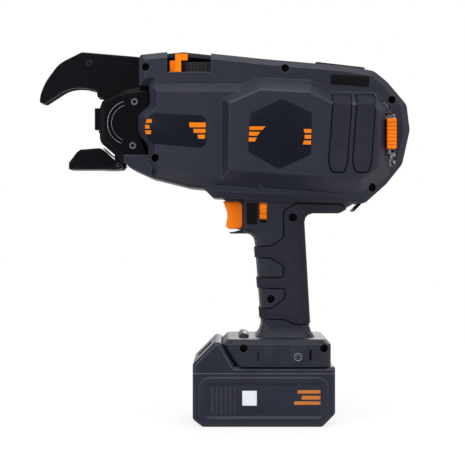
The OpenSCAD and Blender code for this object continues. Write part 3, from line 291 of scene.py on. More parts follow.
@dataclass(frozen=True)
class Finish:
    """What every finish has: a name, a colour, how rough it is and how round its edges look."""

    name: str
    colour: Colour
    roughness: float
    edge_radius: float = 0.3 * MM

    def paint(self, graph: Graph, soft: Signal) -> None:
        """Lay this finish out in a graph that has the normal with soft edges."""
        raise NotImplementedError

    def material(self) -> bpy.types.Material:
        """Make the material of this finish."""
        graph, material = Graph.of_material(self.name)
        self.paint(graph, graph.softened(self.edge_radius))
        return material


@dataclass(frozen=True)
class MouldedPlastic(Finish):
    """Injection moulded plastic with an eroded grain, handling marks, and pale edges that are partly rubbing wear and
    partly a painted highlight.
    """

    # Pale edge colour: rubbing wear together with a painted highlight on the rims.
    edge_wear_and_highlight: Colour = shade("666772")
    edge_wear_highlight_share: float = 0.55
    edge_radius: float = 0.9 * MM
    grain: float = 0.035 * MM
    grain_scale: float = 1500.0
    specular: float = 0.2
    coat: float = 0.0
    cloud_scale: float = 26.0
    smear_scale: Triple = (55.0, 55.0, 16.0)
    smear_turn: float = 0.5

    def paint(self, graph: Graph, soft: Signal) -> None:
        """Lay out a cloudy colour, pale edges of wear and painted highlight, and a pitted grain."""
        rim = graph.edges(soft)
        cloud = graph.noise(self.cloud_scale, detail=4.0)
        smear = graph.streaks(self.smear_scale, self.smear_turn)
        pits = graph.cells(self.grain_scale)
        fine = graph.noise(self.grain_scale * 1.7, detail=2.0)
        base = graph.mix(cloud.fit(0.34, 0.66), toned(self.colour, 0.86), toned(self.colour, 1.12))
        # Edges mixed towards the pale colour: partly wear, partly a painted highlight.
        base = graph.mix(rim * smear.fit(0.3, 0.7, 0.45, 1.0) * self.edge_wear_highlight_share, base, self.edge_wear_and_highlight)
        rough = self.roughness + smear.swing(0.22) + fine.swing(0.12) - rim * 0.1
        height = pits * 0.7 + fine * 0.5
        graph.surface({
            "Base Color": base, "Roughness": rough.held(0.05), "Coat Weight": self.coat, "Coat Roughness": 0.25,
            "Specular IOR Level": self.specular, "Normal": graph.bump(height, self.grain, soft, 0.55)})


@dataclass(frozen=True)
class Elastomer(Finish):
    """Soft overmould: dull, finely pebbled, darkened round its edge by painted shade where it meets the housing, and
    dusty in patches.
    """

    # Colour of the painted shade along the rubber's edge.
    seam: Colour = shade("0B0B0E")
    seam_shade_share: float = 0.9
    edge_radius: float = 0.8 * MM
    pebble: float = 0.05 * MM
    pebble_scale: float = 1100.0
    dust_scale: float = 60.0
    specular: float = 0.04

    def paint(self, graph: Graph, soft: Signal) -> None:
        """Lay out dust, the painted shade along the edge and the pebbles."""
        rim = graph.edges(soft, 0.012, 0.09)
        dust = graph.noise(self.dust_scale, detail=5.0, rough=0.62)
        pebbles = graph.cells(self.pebble_scale, "SMOOTH_F1")
        base = graph.mix(dust.fit(0.42, 0.72), self.colour, toned(self.colour, 1.22, 0.002))
        # Edges darkened: painted shade in the gap round the rubber.
        base = graph.mix(rim * self.seam_shade_share, base, self.seam)
        rough = self.roughness + dust.swing(0.24) + pebbles * 0.05
        graph.surface({
            "Base Color": base, "Roughness": rough.held(0.05), "Specular IOR Level": self.specular,
            "Normal": graph.bump(pebbles, self.pebble, soft, 0.6)})


@dataclass(frozen=True)
class BlackenedSteel(Finish):
    """Steel with a black oxide skin, rubbed bright along its edges and scratched by wire."""

    bare: Colour = shade("7C7D80")
    rubbed: float = 0.5
    scratched: float = 0.22
    edge_radius: float = 0.7 * MM
    skin: float = 0.2
    patch_scale: float = 140.0
    scratch_scale: Triple = (2600.0, 900.0, 60.0)
    scratch_turn: float = 0.9
    speckle: float = 0.02 * MM
    speckle_scale: float = 2300.0
    specular: float = 0.04

    def paint(self, graph: Graph, soft: Signal) -> None:
        """Lay out a patchy skin, rubbed edges, scratches and speckle."""
        patch = graph.noise(self.patch_scale, detail=5.0, rough=0.65)
        rim = graph.edges(soft, 0.03, 0.2) * patch.fit(0.4, 0.62, 0.15, 1.0)
        lines = graph.streaks(self.scratch_scale, self.scratch_turn, detail=2.0, rough=0.5)
        scratch = lines.fit(0.66, 0.74) * patch.fit(0.5, 0.7)
        speckle = graph.noise(self.speckle_scale, detail=2.0)
        base = graph.mix(patch.fit(0.3, 0.7), toned(self.colour, 0.8), self.colour)
        base = graph.mix((rim * self.rubbed).either(scratch * self.scratched), base, self.bare)
        rough = self.roughness + patch.swing(0.3) + speckle.swing(0.16) - rim * 0.12
        height = speckle * 0.6 - scratch * 0.5
        graph.surface({
            "Base Color": base, "Metallic": self.skin, "Roughness": rough.held(0.08),
            "Specular IOR Level": self.specular, "Normal": graph.bump(height, self.speckle, soft, 0.5)})


class Lay(Enum):
    """Direction in which a metal surface was brushed or turned, as stretch of its marks."""

    ALONG_X = (60.0, 2200.0, 2200.0)
    ALONG_Z = (2200.0, 2200.0, 60.0)
    CAST = (700.0, 700.0, 700.0)


@dataclass(frozen=True)
class BareSteel(Finish):
    """Bare or plated metal with the marks of its working and a little tarnish."""

    tarnish: Colour = shade("6E665C")
    lay: Lay = Lay.ALONG_X
    edge_radius: float = 0.35 * MM
    stain_scale: float = 190.0
    stain_from: float = 0.5
    stain_full: float = 0.78
    stained: float = 0.45
    marked: float = 0.25
    mark: float = 0.012 * MM

    def paint(self, graph: Graph, soft: Signal) -> None:
        """Lay out stains and the marks of working."""
        marks = graph.streaks(self.lay.value)
        stain = graph.noise(self.stain_scale, detail=5.0, rough=0.66)
        base = graph.mix(stain.fit(self.stain_from, self.stain_full) * self.stained, self.colour, self.tarnish)
        base = graph.mix((marks - 0.5).fit(0.0, 0.3) * self.marked, base, toned(self.colour, 0.7))
        rough = self.roughness + marks.swing(0.3) + stain.swing(0.2)
        graph.surface({
            "Base Color": base, "Metallic": 1.0, "Roughness": rough.held(0.06),
            "Normal": graph.bump(marks, self.mark, soft, 0.5)})


@dataclass(frozen=True)
class WoundWire(Finish):
    """Soft iron wire laid in close turns round the reel."""

    turn_scale: float = 183.02776
    turn_depth: float = 0.35 * MM
    dulled: Colour = shade("4A4744")
    dull_scale: float = 420.0
    # Colour of the painted shade in the grooves between turns.
    between: Colour = shade("141312")
    edge_radius: float = 0.2 * MM

    def paint(self, graph: Graph, soft: Signal) -> None:
        """Lay out the turns, painted shade between them, and patches of scale."""
        turns = graph.bands(self.turn_scale, "Y", 0.4)
        scale = graph.noise(self.dull_scale, detail=4.0)
        base = graph.mix(scale.fit(0.35, 0.7), self.colour, self.dulled)
        # Dark between the turns: painted shade in the grooves between wires.
        base = graph.mix(turns.fit(0.0, 0.35, 0.75, 0.0), base, self.between)
        graph.surface({
            "Base Color": base, "Metallic": 0.95, "Roughness": self.roughness + scale.swing(0.25),
            "Normal": graph.bump(turns, self.turn_depth, soft, 0.9)})


@dataclass(frozen=True)
class CircuitBoard(Finish):
    """Solder mask over copper tracks, with bare pads."""

    track: Colour = shade("1F7A4A")
    track_scale: float = 330.0
    pad: Colour = shade("C9A24C")
    pad_scale: float = 260.0
    copper: float = 0.05 * MM
    edge_radius: float = 0.2 * MM

    def paint(self, graph: Graph, soft: Signal) -> None:
        """Lay out tracks and pads."""
        walls = graph.cells(self.track_scale, "DISTANCE_TO_EDGE")
        dots = graph.cells(self.pad_scale)
        track = walls.fit(0.05, 0.07, 1.0, 0.0)
        pad = dots.fit(0.16, 0.19, 1.0, 0.0)
        base = graph.mix(pad, graph.mix(track, self.colour, self.track), self.pad)
        graph.surface({
            "Base Color": base, "Metallic": pad * 0.9, "Roughness": self.roughness - pad * 0.1,
            "Normal": graph.bump(track.either(pad), self.copper, soft, 0.6)})


@dataclass(frozen=True)
class CellSleeve(Finish):
    """Shrunk sleeve of a battery cell, with a paler ring near each end."""

    folded: Colour = shade("0E5A78")
    ring: Colour = shade("D8DADC")
    ring_from: float = 29.2 * MM
    ring_to: float = 31.2 * MM
    ring_blur: float = 0.4 * MM
    wrinkle: float = 0.05 * MM
    wrinkle_scale: Triple = (260.0, 40.0, 260.0)
    edge_radius: float = 0.4 * MM

    def paint(self, graph: Graph, soft: Signal) -> None:
        """Lay out wrinkles and the two rings."""
        wrinkle = graph.streaks(self.wrinkle_scale)
        ends = graph.add("ShaderNodeMath", {"operation": "ABSOLUTE"}, {0: graph.along("Y")})
        ring = (ends.fit(self.ring_from, self.ring_from + self.ring_blur)
                * ends.fit(self.ring_to - self.ring_blur, self.ring_to, 1.0, 0.0))
        base = graph.mix(ring, graph.mix(wrinkle.fit(0.35, 0.7), self.colour, self.folded), self.ring)
        graph.surface({
            "Base Color": base, "Roughness": self.roughness + wrinkle.swing(0.2),
            "Normal": graph.bump(wrinkle, self.wrinkle, soft, 0.6)})


@dataclass(frozen=True)
class LightPipe(Finish):
    """Clear coloured plastic over the indicator, with its moulded prism lines."""

    glow: Colour = shade("7CE08A")
    prism: float = 0.06 * MM
    prism_scale: float = 190.0

    def paint(self, graph: Graph, soft: Signal) -> None:
        """Lay out the prism lines."""
        lines = graph.bands(self.prism_scale, "Y")
        base = graph.mix(lines.fit(0.2, 0.8), self.colour, self.glow)
        graph.surface({
            "Base Color": base, "Roughness": self.roughness + lines * 0.08, "Coat Weight": 0.8,
            "Coat Roughness": 0.05, "Normal": graph.bump(lines, self.prism, soft, 0.6)})


@dataclass(frozen=True)
class PrintedFilm(Finish):
    """Label film: an even ink under a satin lacquer, with its fine orange peel and scuffs."""

    scuff: Colour = shade("3A3C46")
    scuffed: float = 0.3
    scuff_scale: Triple = (130.0, 130.0, 900.0)
    scuff_turn: float = 0.7
    coat: float = 0.04
    peel: float = 0.015 * MM
    peel_scale: float = 900.0
    ink_scale: float = 70.0
    specular: float = 0.05
    edge_radius: float = 0.15 * MM

    def paint(self, graph: Graph, soft: Signal) -> None:
        """Lay out the ink, its scuffs and the orange peel."""
        peel = graph.noise(self.peel_scale, detail=2.0)
        wear = graph.streaks(self.scuff_scale, self.scuff_turn, detail=4.0, rough=0.65)
        ink = graph.noise(self.ink_scale)
        base = graph.mix(ink.fit(0.35, 0.65), toned(self.colour, 0.88), self.colour)
        base = graph.mix(wear.fit(0.62, 0.8) * self.scuffed, base, self.scuff)
        graph.surface({
            "Base Color": base, "Roughness": self.roughness + wear.swing(0.3), "Coat Weight": self.coat,
            "Coat Roughness": 0.2, "Specular IOR Level": self.specular,
            "Normal": graph.bump(peel, self.peel, soft, 0.4)})


class Look(Enum):
    """The finishes of the tool."""

    HOUSING = MouldedPlastic("housing_charcoal", shade("1B1D29"), 0.46)
    PANEL = MouldedPlastic("panel_charcoal", shade("181A25"), 0.5, edge_wear_highlight_share=0.0)
    # Pale pack edges: wear with a painted highlight.
    PACK = MouldedPlastic("pack_charcoal", shade("191B29"), 0.42, edge_wear_and_highlight=shade("6E6F7A"), edge_wear_highlight_share=0.6,
                          edge_radius=0.6 * MM, grain_scale=1300.0)
    TRIM = MouldedPlastic("trim_black", shade("0B0B0E"), 0.44, edge_wear_and_highlight=shade("34343A"))
    # Pale rib edges: mostly a painted highlight on the ribs.
    RIBBED = MouldedPlastic("ribbed_black", shade("0B0B0E"), 0.4, edge_wear_and_highlight=shade("6E6F76"), edge_wear_highlight_share=0.8,
                            edge_radius=0.35 * MM)
    GREY = MouldedPlastic("inner_grey", shade("6E7178"), 0.5, edge_wear_and_highlight=shade("8E9096"))
    # Pale top edges of the pack: mostly a painted highlight.
    PACK_TOP = MouldedPlastic("pack_top_charcoal", shade("191B29"), 0.38, edge_wear_and_highlight=shade("A9AAB4"), edge_wear_highlight_share=0.85,
                              edge_radius=0.8 * MM, grain_scale=1300.0)
    ORANGE = MouldedPlastic("control_orange", shade("EA7300"), 0.4, edge_wear_and_highlight=shade("F7AE62"), edge_wear_highlight_share=0.5,
                            edge_radius=0.3 * MM, grain=0.015 * MM, specular=0.12)
    # Paler trigger rims: a painted highlight.
    TRIGGER = MouldedPlastic("trigger_orange", shade("EA7300"), 0.38, edge_wear_and_highlight=shade("F28E2C"), edge_wear_highlight_share=0.2,
                             edge_radius=2.6 * MM, grain=0.02 * MM, specular=0.14)
    REEL = MouldedPlastic("reel_black", shade("202124"), 0.42, edge_wear_and_highlight=shade("46474C"))
    RUBBER = Elastomer("grip_rubber", shade("23242C"), 0.66)
    OXIDE = BlackenedSteel("black_oxide", shade("0C0C10"), 0.42)
    SCUFFED = BlackenedSteel("scuffed_strip", shade("16161A"), 0.36, bare=shade("B4B5BA"), rubbed=0.95)
    HEAD = BlackenedSteel("head_black", shade("09090D"), 0.42, bare=shade("63646C"), rubbed=0.35)
    FASTENER = BlackenedSteel("screw_black", shade("0E0E11"), 0.35, rubbed=0.5)
    SCREW = BareSteel("screw_steel", shade("505258"), 0.42, lay=Lay.CAST)
    STRIP = BareSteel("strip_steel", shade("9A9CA2"), 0.4, tarnish=shade("0C0C10"), lay=Lay.CAST, stain_scale=300.0,
                      stain_from=0.4, stain_full=0.56, stained=1.0)
    RUBBED = BareSteel("rubbed_steel_and_highlight", shade("7E8086"), 0.32, lay=Lay.ALONG_Z)
    BRIGHT = BareSteel("bright_steel", shade("B9BABC"), 0.28)
    PLATED = BareSteel("plated_can", shade("9C9EA2"), 0.34, lay=Lay.ALONG_X)
    GREY_STEEL = BareSteel("grey_steel", shade("7A7C80"), 0.42, lay=Lay.CAST)
    BRASS = BareSteel("contact_brass", shade("C9A24C"), 0.3, tarnish=shade("7A5A22"), lay=Lay.ALONG_Z)
    WIRE = WoundWire("tie_wire", shade("8B8780"), 0.42)
    BOARD = CircuitBoard("board_green", shade("0E4A2C"), 0.4)
    CELL = CellSleeve("cell_sleeve", shade("15799E"), 0.35)
    LENS = LightPipe("lens_green", shade("2E8B46"), 0.18)
    LABEL = PrintedFilm("label_navy", shade("0F111C"), 0.4)
    PLATE = PrintedFilm("plate_black", shade("08080B"), 0.45)
    INK = PrintedFilm("stripe_orange", shade("DC730F"), 0.42, scuff=shade("B9682A"), coat=0.05)
    FADED = PrintedFilm("stripe_faded", shade("B96F33"), 0.46, scuff=shade("8A5A34"), coat=0.03)
    PALE = PrintedFilm("sticker_pale", shade("D6DAE3"), 0.5, scuff=shade("B4B4B8"), coat=0.15)
    # Near-black film laid where slits, socket floors and seams hold only shade: painted shade.
    HOLLOW = PrintedFilm("painted_shade_black", shade("050506"), 0.7, scuff=shade("101012"), coat=0.0)


class FinishBook:
    """Makes each material once and hands it out."""

    def __init__(self) -> None:
        """Start with no material made."""
        self._made: Dict[Look, bpy.types.Material] = {}

    def __getitem__(self, look: Look) -> bpy.types.Material:
        """Give the material of a finish."""
        if look not in self._made:
            self._made[look] = look.value.material()
        return self._made[look]


SOLID_LOOKS: Dict[Look, Tuple[str, ...]] = {
    Look.HOUSING: ("housing_left", "housing_right", "reel_cover"),
    Look.RUBBER: ("grip_pad_left", "grip_pad_right", "bumper_pads", "cover_pads"),
    Look.FASTENER: ("housing_screws", "jaw_screw", "strap_bar"),
    Look.HEAD: ("head_plate_left", "head_plate_right", "contact_block"),
    Look.OXIDE: ("head_case", "upper_jaw_left", "upper_jaw_right", "lower_jaw"),
    Look.SCUFFED: ("lower_jaw_lip", "lower_jaw_pin"),
    Look.STRIP: ("latch_strip",),
    Look.SCREW: ("head_plate_screws",),
    Look.BRIGHT: ("lower_jaw_spring", "thrust_bearing", "hook_shaft", "press_wheel", "lever_pin", "reel_axle",
                  "latch_spring", "cover_hinge_pin", "trigger_spring", "battery_latch_spring"),
    Look.PLATED: ("twist_motor", "feed_motor"),
    Look.GREY_STEEL: ("curl_guide", "hook_sleeve", "twist_hooks", "feed_wheel", "wire_guide_tube"),
    Look.RIBBED: ("release_lever",),
    Look.TRIM: ("trigger_switch", "control_panel", "terminal_block", "battery_latch"),
    Look.GREY: ("gearbox_case", "mode_button", "cell_holders"),
    Look.ORANGE: ("release_stopper", "reel_latch", "lock_slider", "power_button"),
    Look.TRIGGER: ("trigger",),
    Look.REEL: ("reel_spool",),
    Look.WIRE: ("wire_winding",),
    Look.LENS: ("indicator_lens",),
    Look.BOARD: ("control_board", "battery_board"),
    Look.BRASS: ("terminal_blades",),
    Look.PACK: ("battery_case_bottom",),
    Look.PACK_TOP: ("battery_case_top",),
    Look.CELL: ("battery_cells",),
}


def dress_solids(book: FinishBook) -> None:
    """Give every solid its finish.

    Args:
        book: Source of the materials.
    """
    for look, names in SOLID_LOOKS.items():
        for name in names:
            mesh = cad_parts[name].data
            mesh.materials.clear()
            mesh.materials.append(book[look])
    bare = sorted(set(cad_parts) - {n for names in SOLID_LOOKS.values() for n in names})
    log.info("solids dressed: %d, left bare: %s", len(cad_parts), bare)


def seat(node: str, x: float, z: float, side: Side = Side.LEFT) -> float:
    """Find where a solid's outer face lies, in millimetres.

    Args:
        node: Solid that carries the piece.
        x: Place along the tool.
        z: Height.
        side: Side that the face is looked for from.

    Returns:
        The face's Y.
    """
    start = Vector((x, side * FAR, z)) * MM
    hit, point, _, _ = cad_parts[node].ray_cast(start, Vector((0.0, -side, 0.0)))
    if not hit:
        raise ValueError(f"nothing of {node} at {x:.1f}, {z:.1f}")
    return point.y / MM


def across(length: float) -> Vector:
    """Give a way of some length along Y."""
    return Vector((0.0, length, 0.0))


def upright(outline: Sequence[Point], depth: float) -> List[Vector]:
    """Stand an outline of X and Z up at one Y."""
    return [Vector((x, depth, z)) for x, z in outline]


def rectangle(left: float, low: float, right: float, high: float) -> Bar:
    """Give the corners of a rectangle from its four sides."""
    return ((left, low), (right, low), (right, high), (left, high))


def headings(path: Sequence[Vector]) -> List[Vector]:
    """Give the direction of a path at each of its points."""
    ways = [(b - a).normalized() for a, b in zip(path, path[1:])]
    return [ways[0]] + [(a + b).normalized() for a, b in zip(ways, ways[1:])] + [ways[-1]]


def eased(line: Line, step: float, cuts: int = 6, least: float = 0.05) -> List[Vector]:
    """Round the corners of a line and cut its long stretches.

    Args:
        line: X, Z and corner radius of each point.
        step: Longest stretch that is left whole.
        cuts: Number of stretches in each rounded corner.
        least: Shortest stretch that is kept.

    Returns:
        Points of the line, X and Z.
    """
    points = [Vector(line[0][:2])]
    for before, here, after in zip(line, line[1:], line[2:]):
        corner = Vector(here[:2])
        back, on = (Vector(before[:2]) - corner).normalized(), (Vector(after[:2]) - corner).normalized()
        reach = here[2] * math.tan((math.pi - back.angle(on)) / 2)
        start, end = corner + back * reach, corner + on * reach
        for share in (k / cuts for k in range(cuts + 1)):
            points.append((1 - share) ** 2 * start + 2 * share * (1 - share) * corner + share ** 2 * end)
    points.append(Vector(line[-1][:2]))
    cut = [points[0]]
    for here in points[1:]:
        start = cut[-1]
        parts = max(1, math.ceil((here - start).length / step))
        cut.extend(start.lerp(here, k / parts) for k in range(1, parts + 1))
    return cut[:1] + [p for q, p in zip(cut, cut[1:]) if (p - q).length > least]


class Mould:
    """Shapes one mesh with operators and turns it into a piece of the tool.

    Every method takes millimetres. The mesh is in metres.
    """

    CORNER_STEPS = 5
    EDGE_STEPS = 2
    WELD = 0.001
    SAME = 0.0001
    SHARP = math.radians(32.0)

    def __init__(self) -> None:
        """Start empty."""
        self.mesh = bmesh.new()

    def _rounded(self, geom: List[Any], radius: float, steps: int, affect: str = "EDGES", clamp: bool = False) -> None:
        """Round edges or corners off."""
        bmesh.ops.bevel(self.mesh, geom=geom, offset=radius * MM, offset_type="OFFSET", segments=steps, profile=0.5,
                        affect=affect, clamp_overlap=clamp, material=-1)

    def _grown(self, faces: List[bmesh.types.BMFace], way: Vector) -> List[bmesh.types.BMFace]:
        """Grow faces along a way, and give the faces at its end."""
        new = bmesh.ops.extrude_face_region(self.mesh, geom=faces)["geom"]
        bmesh.ops.translate(self.mesh, vec=way * MM, verts=[g for g in new if isinstance(g, bmesh.types.BMVert)])
        return [g for g in new if isinstance(g, bmesh.types.BMFace)]

    def _face(self, corners: Sequence[Vector], corner_radius: float) -> List[bmesh.types.BMFace]:
        """Add a flat face with rounded corners."""
        before = set(self.mesh.faces)
        points = [self.mesh.verts.new(c * MM) for c in corners]
        loop = [self.mesh.edges.new(pair) for pair in zip(points, points[1:] + points[:1])]
        bmesh.ops.edgeloop_fill(self.mesh, edges=loop)
        if corner_radius:
            self._rounded(points, corner_radius, self.CORNER_STEPS, "VERTICES")
        return [f for f in self.mesh.faces if f not in before]

    def slab(self, corners: Sequence[Vector], rise: Vector, corner_radius: float = 0.0, edge: float = 0.0) -> None:
        """Add a flat slab with rounded corners and a softened upper edge.

        Args:
            corners: Outline, on the face that carries the slab.
            rise: Thickness, as a vector away from that face.
            corner_radius: Radius of the outline's corners.
            edge: Radius of the upper edge.
        """
        top = self._grown(self._face(corners, corner_radius), rise)
        if edge:
            self._rounded(list(dict.fromkeys(e for f in top for e in f.edges)), edge, self.EDGE_STEPS)
        gaps = [e for e in self.mesh.edges if e.is_boundary]
        if gaps:
            bmesh.ops.holes_fill(self.mesh, edges=gaps)

    def rim(self, corners: Sequence[Vector], rise: Vector, wall: float, corner_radius: float, edge: float) -> None:
        """Add a rim, which is a slab with an open middle.

        Args:
            corners: Outer outline.
            rise: Thickness, as a vector.
            wall: Width of the rim.
            corner_radius: Radius of the outline's corners.
            edge: Radius of the upper edges.
        """
        middle = self._face(corners, corner_radius)
        ring = bmesh.ops.inset_region(self.mesh, faces=middle, thickness=wall * MM, use_boundary=True,
                                      use_even_offset=True)["faces"]
        bmesh.ops.delete(self.mesh, geom=middle, context="FACES_ONLY")
        top = self._grown(ring, rise)
        rims = [e for f in top for e in f.edges if not all(n in top for n in e.link_faces)]
        self._rounded(rims, edge, self.EDGE_STEPS)

    def key(self, outline: Sequence[Point], half: float, rim: float, steps: int) -> None:
        """Add a slab across the tool with both of its rims rounded.

        Args:
            outline: X and Z of its corners.
            half: Half its width.
            rim: Radius of the rims.
            steps: Steps in a rim.
        """
        self.slab(upright(outline, -half), across(2 * half))
        rims = [e for e in self.mesh.edges if abs(e.verts[0].co.y - e.verts[1].co.y) < half * MM]
        self._rounded(rims, rim, steps, clamp=True)

    def turned(self, profile: Sequence[Point], centre: Vector, side: Side = Side.LEFT, steps: int = 40) -> None:
        """Add a turned shape about an axis along Y.

        Args:
            profile: Radius and height of each point, heights counted outwards.
            centre: Middle of the shape.
            side: Side that is outwards.
            steps: Steps round the circle.
        """
        points = [self.mesh.verts.new((centre + Vector((r, side * height, 0.0))) * MM) for r, height in profile]
        edges = [self.mesh.edges.new(pair) for pair in zip(points, points[1:])]
        bmesh.ops.spin(self.mesh, geom=points + edges, cent=centre * MM, axis=across(1.0), angle=2 * math.pi,
                       steps=steps, use_merge=True)
        bmesh.ops.remove_doubles(self.mesh, verts=self.mesh.verts, dist=self.WELD * MM)

    def ribbon(self, rail: Sequence[Vector], other: Sequence[Vector]) -> None:
        """Add a strip of faces between two lines with as many points."""
        first = [self.mesh.verts.new(p * MM) for p in rail]
        edges = [self.mesh.edges.new(pair) for pair in zip(first, first[1:])]
        grown = bmesh.ops.extrude_edge_only(self.mesh, edges=edges)["geom"]
        for vert in (g for g in grown if isinstance(g, bmesh.types.BMVert)):
            near = min(range(len(rail)), key=lambda i: (rail[i] * MM - vert.co).length)
            vert.co = other[near] * MM

    def thicken(self, low: float, rise: float) -> None:
        """Move all faces along Y by low, and grow them along Y by rise."""
        bmesh.ops.translate(self.mesh, vec=across(low) * MM, verts=self.mesh.verts)
        self._grown(list(self.mesh.faces), across(rise))

    def _ring(self, middle: Vector, way: Vector, radius: float, sides: int = 10) -> List[Any]:
        """Add a round end face, and give its face, edges and corners."""
        stand = Matrix.Translation(middle * MM) @ way.to_track_quat("Z", "Y").to_matrix().to_4x4()
        corners = bmesh.ops.create_circle(self.mesh, cap_ends=True, radius=radius * MM, segments=sides,
                                          matrix=stand)["verts"]
        face = corners[0].link_faces[0]
        return [face, *face.edges, *corners]

    def coil(self, foot: Vector, way: Vector, radius: float, wire: float, turns: int, steps: int = 24) -> None:
        """Add a coil of round wire.

        Args:
            foot: Where the coil's middle line starts.
            way: From the foot to the other end, as long as the coil.
            radius: Radius of the coil.
            wire: Radius of the wire.
            turns: Number of turns.
            steps: Steps in each turn.
        """
        out = way.orthogonal().normalized()
        end = self._ring(foot + radius * out, way.cross(out).normalized(), wire)
        bmesh.ops.spin(self.mesh, geom=end, cent=foot * MM, axis=way, dvec=way * MM / (turns * steps),
                       angle=2 * math.pi * turns, steps=turns * steps)

    def rod(self, path: Sequence[Vector], radius: float) -> None:
        """Add a round rod along a path.

        Args:
            path: Middle line of the rod.
            radius: Radius of the rod.
        """
        ways = headings(path)
        end = self._ring(path[0], ways[0], radius)
        for place, after, way, turned in zip(path, path[1:], ways, ways[1:]):
            end = bmesh.ops.extrude_face_region(self.mesh, geom=end)["geom"]
            moved = [g for g in end if isinstance(g, bmesh.types.BMVert)]
            bmesh.ops.rotate(self.mesh, cent=place * MM, matrix=way.rotation_difference(turned).to_matrix(),
                             verts=moved)
            bmesh.ops.translate(self.mesh, vec=(after - place) * MM, verts=moved)

    def piece(self, name: str, material: bpy.types.Material, body: Optional[str], slot: str) -> bpy.types.Object:
        """Finish the mesh as a piece of the tool.

        Args:
            name: Name of the piece.
            material: Its finish.
            body: Body that it rides on, or None for a piece left unattached.
            slot: Not used.

        Returns:
            The new object.
        """
        bmesh.ops.remove_doubles(self.mesh, verts=self.mesh.verts, dist=self.SAME * MM)
        bmesh.ops.recalc_face_normals(self.mesh, faces=self.mesh.faces)
        data = bpy.data.meshes.new(name)
        self.mesh.to_mesh(data)
        self.mesh.free()
        for polygon in data.polygons:
            polygon.use_smooth = True
        data.set_sharp_from_angle(angle=self.SHARP)
        data.materials.append(material)
        thing = bpy.data.objects.new(name, data)
        bpy.context.scene.collection.objects.link(thing)
        if body:
            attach(thing, body)
        log.info("piece %s: %d faces, on %s", name, len(data.polygons), body)
        return thing


class Part:
    """Something that is added to the tool."""

    def build(self, book: FinishBook) -> None:
        """Make the pieces of this part.

        Args:
            book: Source of the materials.
        """
        raise NotImplementedError


@dataclass
class FilmLabel(Part):
    """A dark label plate with plain stripes, stuck on one flat face.

    The outline is X and Z of each corner, and each bar has four corners. Stripes bite a little into the plate.
    """

    name: str
    outline: Sequence[Point]
    bars: Sequence[Bar] = ()
    carrier: str = "housing_left"
    body: str = "tool"
    slot: str = "black_plastic"
    corner_radius: float = 1.2
    thickness: float = 0.35
    sunk: float = 0.15
    edge: float = 0.12
    ink: float = 0.08
    bite: float = 0.05
    side: Side = Side.LEFT
    look: Look = Look.LABEL
    bar_look: Look = Look.INK

    def build(self, book: FinishBook) -> None:
        """Make the plate and its stripes, seated at the outline's middle."""
        middle = [sum(p[axis] for p in self.outline) / len(self.outline) for axis in (0, 1)]
        face = seat(self.carrier, *middle, self.side)
        plate = Mould()
        plate.slab(upright(self.outline, face - self.side * self.sunk),
                   across(self.side * (self.thickness + self.sunk)), self.corner_radius, self.edge)
        plate.piece(self.name, book[self.look], self.body, self.slot)
        if self.bars:
            stripes = Mould()
            for corners in self.bars:
                stripes.slab(upright(corners, face + self.side * (self.thickness - self.bite)),
                             across(self.side * (self.ink + self.bite)))
            stripes.piece(self.name + "_stripes", book[self.bar_look], self.body, "orange_plastic")


def bar(left: float, right: float, low: float, high: float, left_slant: float = 0.0,
        right_slant: float = 0.0) -> Bar:
    """Lay out one stripe of a label.

    Args:
        left: X of the upper left corner.
        right: X of the upper right corner.
        low: Lower Z.
        high: Upper Z.
        left_slant: How far the lower left corner stands to the right of the upper one.
        right_slant: How far the lower right corner stands to the right of the upper one.

    Returns:
        Four corners.
    """
    return ((left, high), (left + left_slant, low), (right + right_slant, low), (right, high))


def pack_label(name: str, side: Side) -> FilmLabel:
    """Lay out the stripes on one side panel of the battery."""
    return FilmLabel(
        name, ((-21.0, 34.6), (-21.0, 10.0), (43.4, 10.0), (43.4, 34.6)),
        (bar(25.9, 43.2, 25.9, 28.4, -0.3), bar(29.0, 43.2, 21.3, 24.2, -0.3), bar(23.3, 43.2, 17.3, 19.9, -0.3)),
        "battery_case_bottom", "battery", corner_radius=1.0, thickness=0.12, side=side, look=Look.PACK,
        bar_look=Look.FADED)


